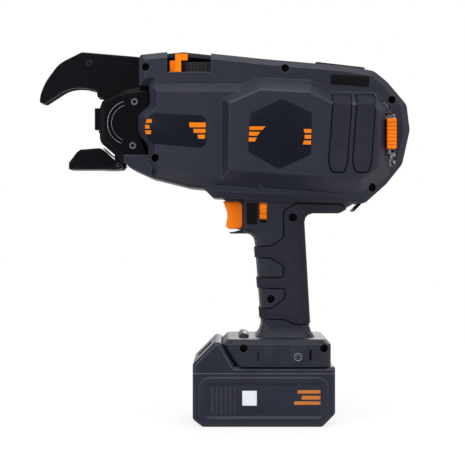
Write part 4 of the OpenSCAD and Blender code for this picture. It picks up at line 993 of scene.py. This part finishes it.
LABELS = (
    FilmLabel(
        "front_label",
        ((-85.0, 240.5), (-91.6, 235.4), (-91.6, 224.4), (-85.0, 217.3), (-47.8, 214.2), (-44.3, 217.4),
         (-44.3, 235.4), (-47.2, 238.9)),
        (bar(-89.6, -85.9, 233.1, 236.0, -0.8), bar(-91.0, -87.9, 228.7, 231.6, 0.0, 0.4),
         bar(-91.0, -86.3, 224.5, 227.4, 0.4, -0.3), bar(-57.3, -44.6, 229.7, 233.4, 0.4),
         bar(-54.1, -44.7, 225.4, 228.5, 0.4), bar(-50.8, -45.2, 221.0, 224.1, 0.3)),
        corner_radius=1.4),
    FilmLabel(
        "reel_badge",
        ((13.1, 250.3), (-11.0, 239.1), (-12.4, 210.7), (11.1, 197.1), (35.2, 208.2), (35.9, 239.6)),
        (bar(-11.3, 0.8, 226.7, 229.4, 0.0, -2.4), bar(-11.5, -3.1, 222.4, 225.3, -0.1, -2.2),
         bar(-11.8, -5.7, 218.0, 221.0, -0.1, -1.4), bar(29.6, 35.5, 224.5, 227.4, 1.0),
         bar(30.4, 35.4, 220.1, 223.0), bar(29.9, 35.2, 215.7, 218.7, -0.8)),
        corner_radius=1.6),
    FilmLabel(
        "serial_plate", ((52.0, 271.8), (51.7, 264.1), (81.5, 262.0), (81.8, 270.0)),
        corner_radius=0.8, look=Look.PLATE),
    FilmLabel(
        "lock_plate", ((-13.2, 172.3), (-13.0, 155.7), (-4.6, 155.7), (-4.6, 172.3)),
        corner_radius=0.6, look=Look.PLATE),
    pack_label("pack_label_left", Side.LEFT),
    pack_label("pack_label_right", Side.RIGHT),
    FilmLabel(
        "pack_sticker", ((-16.6, 28.0), (-16.6, 16.6), (-5.5, 16.6), (-5.5, 28.0)), (), "battery_case_bottom",
        "battery", "grey_plastic", corner_radius=0.3, thickness=0.3, look=Look.PALE),
)


def pad_line(place: float, foot: float = 195.0, wide: float = 17.5, high: float = 60.0) -> Line:
    """Lay out the line of painted shade along the seam round one soft pad of the reel bulge.

    Args:
        place: X of the pad's box.
        foot: Z of the pad's box.
        wide: Width of the box.
        high: Height of the box.

    Returns:
        A line from the pad's top, round its foot and back to the top.
    """
    shape = ((0.22, 1.0, 0.8), (0.0, 0.14, 4.0), (0.11, 0.0, 3.0), (0.67, 0.0, 3.0), (0.78, 0.14, 4.0),
             (1.0, 1.0, 0.8), (0.225, 1.0, 0.8))
    return [(place + x * wide, foot + z * high, radius) for x, z, radius in shape]


PAD_LINES = (pad_line(48.9), pad_line(67.1))
GRIP_LINES = (
    ((-5.2, 137.8, 0.0), (6.7, 138.5, 4.6), (16.2, 145.1, 3.4), (16.2, 165.8, 3.4), (25.7, 171.8, 3.4),
     (60.7, 171.1, 2.3), (64.6, 168.8, 0.0)),
    ((-3.4, 113.7, 0.0), (16.1, 113.7, 2.3), (16.1, 123.2, 3.4), (5.5, 129.6, 4.6), (-4.6, 129.6, 0.0)),
    ((-1.6, 89.6, 0.0), (6.5, 89.6, 4.6), (17.2, 97.3, 3.4), (17.2, 105.6, 2.3), (-2.8, 105.6, 0.0)),
    ((-1.0, 82.0, 0.0), (16.7, 81.2, 4.6), (24.7, 77.4, 4.6), (34.0, 77.4, 4.6), (35.6, 77.9, 0.0)),
)
LATCH_LINES = (((86.4, 256.2, 0.0), (91.8, 250.9, 2.0), (97.0, 246.2, 2.0), (98.0, 241.6, 0.0)),)


@dataclass
class Seams(Part):
    """Narrow strips laid on the solid that carries them, such as dark strips of painted shade along the seams round
    soft areas.

    Each line has X, Z and the corner radius of its points.
    """

    name: str
    carrier: str
    body: str
    side: Side
    lines: Sequence[Line]
    width: float = 1.6
    look: Look = Look.HOLLOW
    slot: str = "black_plastic"
    step: float = 2.0
    sunk: float = 0.15
    proud: float = 0.15

    def _rail(self, points: Sequence[Vector], offset: float) -> List[Vector]:
        """Give a line on the carrier's face, to one side of a line of X and Z."""
        places = [p + offset * Vector((-w.y, w.x)) for p, w in zip(points, headings(points))]
        return [Vector((p.x, seat(self.carrier, p.x, p.y, self.side), p.y)) for p in places]

    def build(self, book: FinishBook) -> None:
        """Make the seams."""
        mould = Mould()
        for line in self.lines:
            points = eased(line, self.step)
            mould.ribbon(self._rail(points, -self.width / 2), self._rail(points, self.width / 2))
        mould.thicken(-self.side * self.sunk, self.side * (self.sunk + self.proud))
        mould.piece(self.name, book[self.look], self.body, self.slot)


SEAMS = (
    # Pad and grip strips are painted shade in the seams round the soft areas.
    Seams("pad_seams_left", "housing_left", "tool", Side.LEFT, PAD_LINES),
    Seams("pad_seams_right", "reel_cover", "reel_door", Side.RIGHT, PAD_LINES),
    Seams("grip_seams_left", "housing_left", "tool", Side.LEFT, GRIP_LINES),
    Seams("grip_seams_right", "housing_right", "tool", Side.RIGHT, GRIP_LINES),
    Seams("latch_band", "housing_left", "tool", Side.LEFT, LATCH_LINES, 2.8, Look.STRIP, "bright_steel"),
)


@dataclass
class PlateTrim(Part):
    """Bright steel lips along the curved groove of a head plate, which paint its highlight, and painted shade on the
    socket floors of its two screws.

    Angles are in degrees. Each lip has its offset from the groove's radius and its width.
    """

    name: str
    carrier: str
    side: Side
    centre: Point = (-103.9, 234.3)
    radius: float = 15.7
    start: float = 106.0
    end: float = 247.0
    lips: Sequence[Point] = ((1.35, 0.42), (-1.65, 0.3))
    rise: float = 0.25
    sunk: float = 0.1
    edge: float = 0.08
    beside: float = 2.35
    steps: int = 28
    screws: Sequence[Point] = ((-100.2, 250.6), (-101.5, 216.6))
    socket: Sequence[Point] = ((1.25, -0.1), (1.25, 0.12), (0.625, 0.12), (0.5, 0.04), (0.0, 0.04))

    def _at(self, radius: float, share: float) -> Point:
        """Give the X and Z of a place on an arc about the groove's centre."""
        angle = math.radians(self.start + (self.end - self.start) * share)
        return (self.centre[0] + radius * math.cos(angle), self.centre[1] + radius * math.sin(angle))

    def _lips(self, book: FinishBook) -> None:
        """Make the two bright lips that paint the groove's highlight, at the height of the face beside the groove."""
        mould = Mould()
        face = seat(self.carrier, *self._at(self.radius + self.beside, 0.5), self.side)
        shares = [k / self.steps for k in range(self.steps + 1)]
        for offset, wide in self.lips:
            inner = self.radius + offset
            outline = [self._at(inner, s) for s in shares] + [self._at(inner + wide, s) for s in reversed(shares)]
            mould.slab(upright(outline, face - self.side * self.sunk), across(self.side * (self.rise + self.sunk)),
                       edge=self.edge)
        # Bright lips: painted highlight along the groove's edges.
        mould.piece(self.name + "_lips", book[Look.RUBBED], "tool", "black_steel")

    def _sockets(self, book: FinishBook) -> None:
        """Make the dark floors of the screw sockets, painted shade."""
        mould = Mould()
        for x, z in self.screws:
            mould.turned(self.socket, Vector((x, seat("head_plate_screws", x, z, self.side), z)), self.side)
        # Dark discs: painted shade on the socket floors.
        mould.piece(self.name + "_sockets", book[Look.HOLLOW], "tool", "black_steel")

    def build(self, book: FinishBook) -> None:
        """Make the trim of one plate."""
        self._lips(book)
        self._sockets(book)


@dataclass
class FootTrim(Part):
    """Small trim on the foot: panels, two mould slits laid as painted shade, a sunk screw in its ring with painted
    shade in its socket, and the boss on its top.

    Slits and panels have their left, low, right and high sides. Profiles have radius and height.
    """

    slits: Sequence[Sides] = ((-5.05, 50.6, -4.15, 58.4), (34.65, 51.4, 36.55, 59.4))
    slit_sunk: float = 0.1
    slit_rise: float = 0.2
    slit_corner: float = 0.3
    panels: Sequence[Sides] = ((-1.0, 47.0, 11.4, 63.0), (19.9, 47.0, 33.1, 63.0))
    panel_sunk: float = 0.2
    panel_rise: float = 0.22
    panel_corner: float = 0.6
    panel_edge: float = 0.12
    screw: Point = (26.1, 53.9)
    ring: Sequence[Point] = ((3.1, -0.3), (3.1, 0.25), (2.9, 0.4), (2.65, 0.4), (2.45, 0.15), (2.45, -0.3), (3.1, -0.3))
    head: Sequence[Point] = ((1.8, -0.3), (1.8, 0.1), (1.53, 0.35), (0.99, 0.4), (0.9, 0.3), (0.9, -0.3), (1.8, -0.3))
    socket: Sequence[Point] = ((0.9, -0.25), (0.9, 0.05), (0.45, 0.08), (0.0, 0.08))
    boss: Triple = (-15.2, 0.0, 66.4)
    boss_radius: float = 4.2
    boss_reach: float = 21.0
    boss_angles: Sequence[float] = (0.0, 0.35, 0.7, 1.05, 1.4)
    body: str = "tool"
    carrier: str = "housing_left"

    def _seat(self, left: float, low: float, right: float, high: float) -> float:
        """Find the foot's face in the middle of a rectangle."""
        return seat(self.carrier, (left + right) / 2, (low + high) / 2)

    def _slits(self, book: FinishBook) -> None:
        """Make the slits as dark slabs of painted shade."""
        mould = Mould()
        for sides in self.slits:
            mould.slab(upright(rectangle(*sides), self._seat(*sides) + self.slit_sunk),
                       across(-self.slit_sunk - self.slit_rise), self.slit_corner * (sides[2] - sides[0]))
        # Dark slabs: painted shade in the slits.
        mould.piece("foot_slit_shade", book[Look.HOLLOW], self.body, "black_plastic")

    def _panels(self, book: FinishBook) -> None:
        """Make the shallow raised panels."""
        mould = Mould()
        for sides in self.panels:
            mould.slab(upright(rectangle(*sides), self._seat(*sides) + self.panel_sunk),
                       across(-self.panel_sunk - self.panel_rise), self.panel_corner, self.panel_edge)
        mould.piece("foot_panels", book[Look.PANEL], self.body, "housing_plastic")

    def _screw(self, book: FinishBook) -> None:
        """Make the ring and the screw head with its round socket, whose dark floor is painted shade, on the panel."""
        x, z = self.screw
        centre = Vector((x, seat(self.carrier, x, z) - self.panel_rise, z))
        for name, profile, look, slot in (("foot_screw_ring", self.ring, Look.RUBBED, "black_steel"),
                                          ("foot_screw", self.head, Look.SCREW, "bright_steel"),
                                          # Dark disc: painted shade in the socket.
                                          ("foot_screw_socket_shade", self.socket, Look.HOLLOW, "black_steel")):
            mould = Mould()
            mould.turned(profile, centre)
            mould.piece(name, book[look], self.body, slot)

    def _boss(self, book: FinishBook) -> None:
        """Make the boss of the front screw, which runs across the top of the foot."""
        mould, radius = Mould(), self.boss_radius
        half = [(radius * math.sin(a), self.boss_reach - radius + radius * math.cos(a)) for a in self.boss_angles]
        mould.turned(half + [(wide, -height) for wide, height in reversed(half)], Vector(self.boss))
        mould.piece("foot_boss", book[Look.HOUSING], self.body, "housing_plastic")

    def build(self, book: FinishBook) -> None:
        """Make the trim."""
        self._slits(book)
        self._panels(book)
        self._screw(book)
        self._boss(book)


@dataclass
class PanelRim(Part):
    """Raised rim round the buttons on top. The floor has X and Z of its two ends."""

    floor: Tuple[Point, Point] = ((41.2, 281.55), (80.3, 277.0))
    half: float = 14.6
    sunk: float = 1.2
    rise: float = 2.1
    wall: float = 2.6
    corner_radius: float = 3.0
    edge: float = 0.6

    def build(self, book: FinishBook) -> None:
        """Make the rim."""
        (front, high), (back, low) = self.floor
        corners = [Vector((x, y, z - self.sunk)) for x, y, z in (
            (front, -self.half, high), (back, -self.half, low), (back, self.half, low), (front, self.half, high))]
        mould = Mould()
        mould.rim(corners, Vector((0.0, 0.0, self.sunk + self.rise)), self.wall, self.corner_radius, self.edge)
        mould.piece("panel_rim", book[Look.TRIM], "tool", "black_plastic")


@dataclass
class TriggerKey(Part):
    """The trigger: a key hollowed for the finger with well rounded rims, and the stem behind it.

    The outline has the X and Z of its corners, the stem its left, low, right and high sides.
    """

    node: str = "trigger"
    outline: Sequence[Point] = (
        (-31.6, 174.0), (-30.3, 170.4), (-29.0, 167.0), (-28.35, 164.4), (-28.25, 161.8), (-28.7, 158.6),
        (-29.3, 155.6), (-29.1, 153.6), (-27.2, 152.0), (-9.2, 152.0), (-9.2, 174.0))
    half: float = 8.0
    rim: float = 1.9
    rim_steps: int = 4
    stem: Sides = (-9.4, 155.0, 7.0, 158.0)
    stem_half: float = 3.0

    def build(self, book: FinishBook) -> None:
        """Make the trigger in place of its plain solid."""
        mould = Mould()
        mould.key(self.outline, self.half, self.rim, self.rim_steps)
        mould.slab(upright(rectangle(*self.stem), -self.stem_half), across(2 * self.stem_half))
        key = mould.piece("trigger_rounded", book[Look.TRIGGER], "trigger_key", "orange_plastic")
        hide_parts(self.node)


@dataclass
class TriggerSurround(Part):
    """Brow of the housing above the trigger, the thicker root of the guard, and round corners beside the trigger.

    Outlines have the X and Z of their corners. Each round corner has its X, Z and radius, below zero where its
    web grows upwards.
    """

    brow: Sequence[Point] = ((-29.6, 174.4), (-16.6, 174.4), (-16.6, 176.3), (-32.2, 176.3))
    brow_half: float = 8.6
    root: Sequence[Point] = ((-24.5, 149.5), (-16.6, 149.5), (-16.6, 151.6))
    root_half: float = 8.0
    edge: float = 0.25
    corners: Line = ((-16.4, 174.6, 6.0), (-16.4, 151.4, -5.0))
    corner_sides: Tuple[float, float] = (8.15, 8.75)
    corner_steps: int = 6

    def _web(self, x: float, z: float, reach: float) -> List[Point]:
        """Lay out the web that fills a corner of the opening, with a hollow edge."""
        turns = [0.5 * math.pi * step / self.corner_steps for step in range(self.corner_steps + 1)]
        return [(x, z)] + [(x - abs(reach) * (1 - math.sin(turn)), z - reach * (1 - math.cos(turn)))
                           for turn in turns]

    def build(self, book: FinishBook) -> None:
        """Make them as one piece."""
        mould = Mould()
        for outline, half in ((self.brow, self.brow_half), (self.root, self.root_half)):
            mould.slab(upright(outline, half), across(-2 * half), edge=self.edge)
        inner, outer = self.corner_sides
        for corner in self.corners:
            for side in Side:
                mould.slab(upright(self._web(*corner), side * inner), across(side * (outer - inner)))
        mould.piece("trigger_surround", book[Look.HOUSING], "tool", "housing_plastic")


@dataclass
class CoilSpring(Part):
    """A coil spring, which in the tool shortens towards its foot as a joint presses it; here it is built at its rest
    length.

    The way points from the foot to the pressed end.
    """

    node: str
    joint: str
    body: str
    foot: Triple
    way: Triple
    length: float
    travel: float
    radius: float = 2.4
    wire: float = 0.4
    turns: int = 5
    clear: float = 0.6

    def build(self, book: FinishBook) -> None:
        """Make the spring in place of its plain solid."""
        foot, way = Vector(self.foot) * MM, Vector(self.way).normalized()
        mould = Mould()
        mould.coil(Vector(self.foot) + self.clear * way, (self.length - 2 * self.clear) * way, self.radius, self.wire,
                   self.turns)
        spring = mould.piece(self.node + "_coil", book[Look.BRIGHT], self.body, "bright_steel")
        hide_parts(self.node)
        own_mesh(spring)


SPRINGS = (
    CoilSpring("trigger_spring", "trigger_pull", "tool", (14.0, 0.0, 155.6), (-1.0, 0.0, 0.0), 7.0, 5.5),
    CoilSpring("latch_spring", "reel_latch_slide", "tool", (97.5, -10.0, 210.0), (0.0, 0.0, 1.0), 11.0, 5.0),
    CoilSpring("battery_latch_spring", "battery_release", "battery", (-36.764, 8.0, 47.089), (-1.0, 0.0, 1.0),
               6.0, 2.4),
)


@dataclass
class JawSpring(Part):
    """Bent wire under the lower jaw. In the tool one end stays in the head and the other goes down with the jaw; here
    it is built in one rest shape.

    The line has X, Z and the corner radius of its points.
    """

    node: str = "lower_jaw_spring"
    line: Line = (
        (-124.16, 198.235, 0.0), (-114.7, 198.235, 2.0), (-109.97, 198.66, 1.5), (-108.465, 200.36, 1.0),
        (-107.691, 201.89, 0.0))
    depth: float = -6.0
    wire: float = 0.6
    step: float = 0.8
    stays: float = -108.5
    goes: float = -113.5

    def build(self, book: FinishBook) -> None:
        """Make the wire in place of its plain solid."""
        mould = Mould()
        mould.rod(upright(eased(self.line, self.step), self.depth), self.wire)
        spring = mould.piece(self.node + "_wire", book[Look.BRIGHT], None, "bright_steel")
        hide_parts(self.node)
        height = self.line[0][1]
        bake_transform(spring)


@dataclass
class Studio:
    """Camera of the photograph, pale floor, white surround and soft light, in metres.

    Each lamp has its name, place, size and power.
    """

    eye: Triple = (-0.0241, -0.85, 0.1492)
    lens: float = 82.3
    sensor: float = 36.0
    clip: Tuple[float, float] = (0.02, 50.0)
    floor_reach: float = 8.0
    floor_tones: Tuple[Colour, Colour] = (shade("E4E4E4"), shade("F2F2F2"))
    floor_specks: float = 240.0
    ambient: float = 0.42
    floor_glow: float = 0.8
    floor_near: float = 0.15
    floor_far: float = 0.75
    aim: Triple = (0.0, 0.0, 0.15)
    lamps: Sequence[Tuple[str, Triple, float, float]] = (
        ("top_box", (-0.05, -0.30, 1.25), 0.9, 11.0),
        ("front_box", (-0.95, -1.15, 0.75), 0.9, 12.0),
        ("side_box", (1.15, -0.75, 0.55), 0.8, 6.0),
        ("back_box", (0.35, 1.25, 0.9), 0.9, 16.0),
    )

    def camera(self) -> None:
        """Set up the camera, level and straight on."""
        data = bpy.data.cameras.new("photo_camera")
        data.lens, data.sensor_width, data.sensor_fit = self.lens, self.sensor, "HORIZONTAL"
        data.clip_start, data.clip_end = self.clip
        thing = bpy.data.objects.new("photo_camera", data)
        thing.location = self.eye
        thing.rotation_euler = (math.radians(90.0), 0.0, 0.0)
        bpy.context.scene.collection.objects.link(thing)
        bpy.context.scene.camera = thing

    def _seen(self, graph: Graph) -> Signal:
        """Mark the rays that show the surround: straight, mirrored and through glass."""
        straight, mirrored, through = [graph.add("ShaderNodeLightPath", out=f"Is {kind} Ray")
                                       for kind in ("Camera", "Glossy", "Transmission")]
        return straight.either(mirrored).either(through)

    def surround(self) -> None:
        """Make a white world that lights the tool at a plain level."""
        world = bpy.data.worlds.new("white_surround")
        world.use_nodes = True
        graph = Graph(world.node_tree)
        strength = self._seen(graph) * (1.0 - self.ambient) + self.ambient
        light = graph.add("ShaderNodeBackground", {}, {"Color": WHITE, "Strength": strength})
        graph.add("ShaderNodeOutputWorld", {}, {"Surface": light})
        bpy.context.scene.world = world

    def floor(self) -> None:
        """Lay a pale floor that keeps the shadow."""
        grid = bmesh.new()
        bmesh.ops.create_grid(grid, x_segments=4, y_segments=4, size=self.floor_reach)
        data = bpy.data.meshes.new("floor")
        grid.to_mesh(data)
        grid.free()
        graph, material = Graph.of_material("floor_pale")
        tone = graph.mix(graph.noise(self.floor_specks).fit(0.3, 0.7), *self.floor_tones)
        matt = graph.add("ShaderNodeBsdfDiffuse", {}, {"Color": tone})
        glow = graph.add("ShaderNodeEmission", {}, {"Color": WHITE, "Strength": 1.0})
        far = graph.add("ShaderNodeVectorMath", {"operation": "LENGTH"}, {0: graph.place()}, out="Value")
        share = far.fit(self.floor_near, self.floor_far, self.floor_glow, 1.0)
        both = graph.add("ShaderNodeMixShader", {}, {0: self._seen(graph) * share, 1: matt, 2: glow})
        graph.add("ShaderNodeOutputMaterial", {}, {"Surface": both})
        data.materials.append(material)
        thing = bpy.data.objects.new("floor", data)
        bpy.context.scene.collection.objects.link(thing)

    def light(self) -> None:
        """Hang the soft boxes."""
        for name, place, size, power in self.lamps:
            data = bpy.data.lights.new(name, "AREA")
            data.shape, data.size, data.energy = "SQUARE", size, power
            thing = bpy.data.objects.new(name, data)
            way = Vector(self.aim) - Vector(place)
            thing.matrix_world = Matrix.Translation(place) @ way.to_track_quat("-Z", "Y").to_matrix().to_4x4()
            thing.visible_camera = False
            bpy.context.scene.collection.objects.link(thing)

    def build(self) -> None:
        """Set up the whole studio."""
        bpy.context.scene.view_settings.view_transform = "Standard"
        self.camera()
        self.surround()
        self.floor()
        self.light()


def main() -> None:
    """Dress the tool, add its trim and set up the studio."""
    logging.basicConfig(level=logging.INFO, format="%(name)s: %(message)s")
    Studio().build()
    book = FinishBook()
    dress_solids(book)
    plates = (PlateTrim("plate_left", "head_plate_left", Side.LEFT),
              PlateTrim("plate_right", "head_plate_right", Side.RIGHT))
    for part in (*LABELS, *SEAMS, *plates, FootTrim(), PanelRim(), TriggerKey(), TriggerSurround(), *SPRINGS,
                 JawSpring()):
        part.build(book)
    log.info("boxes written")


if __name__ == "__main__":
    main()
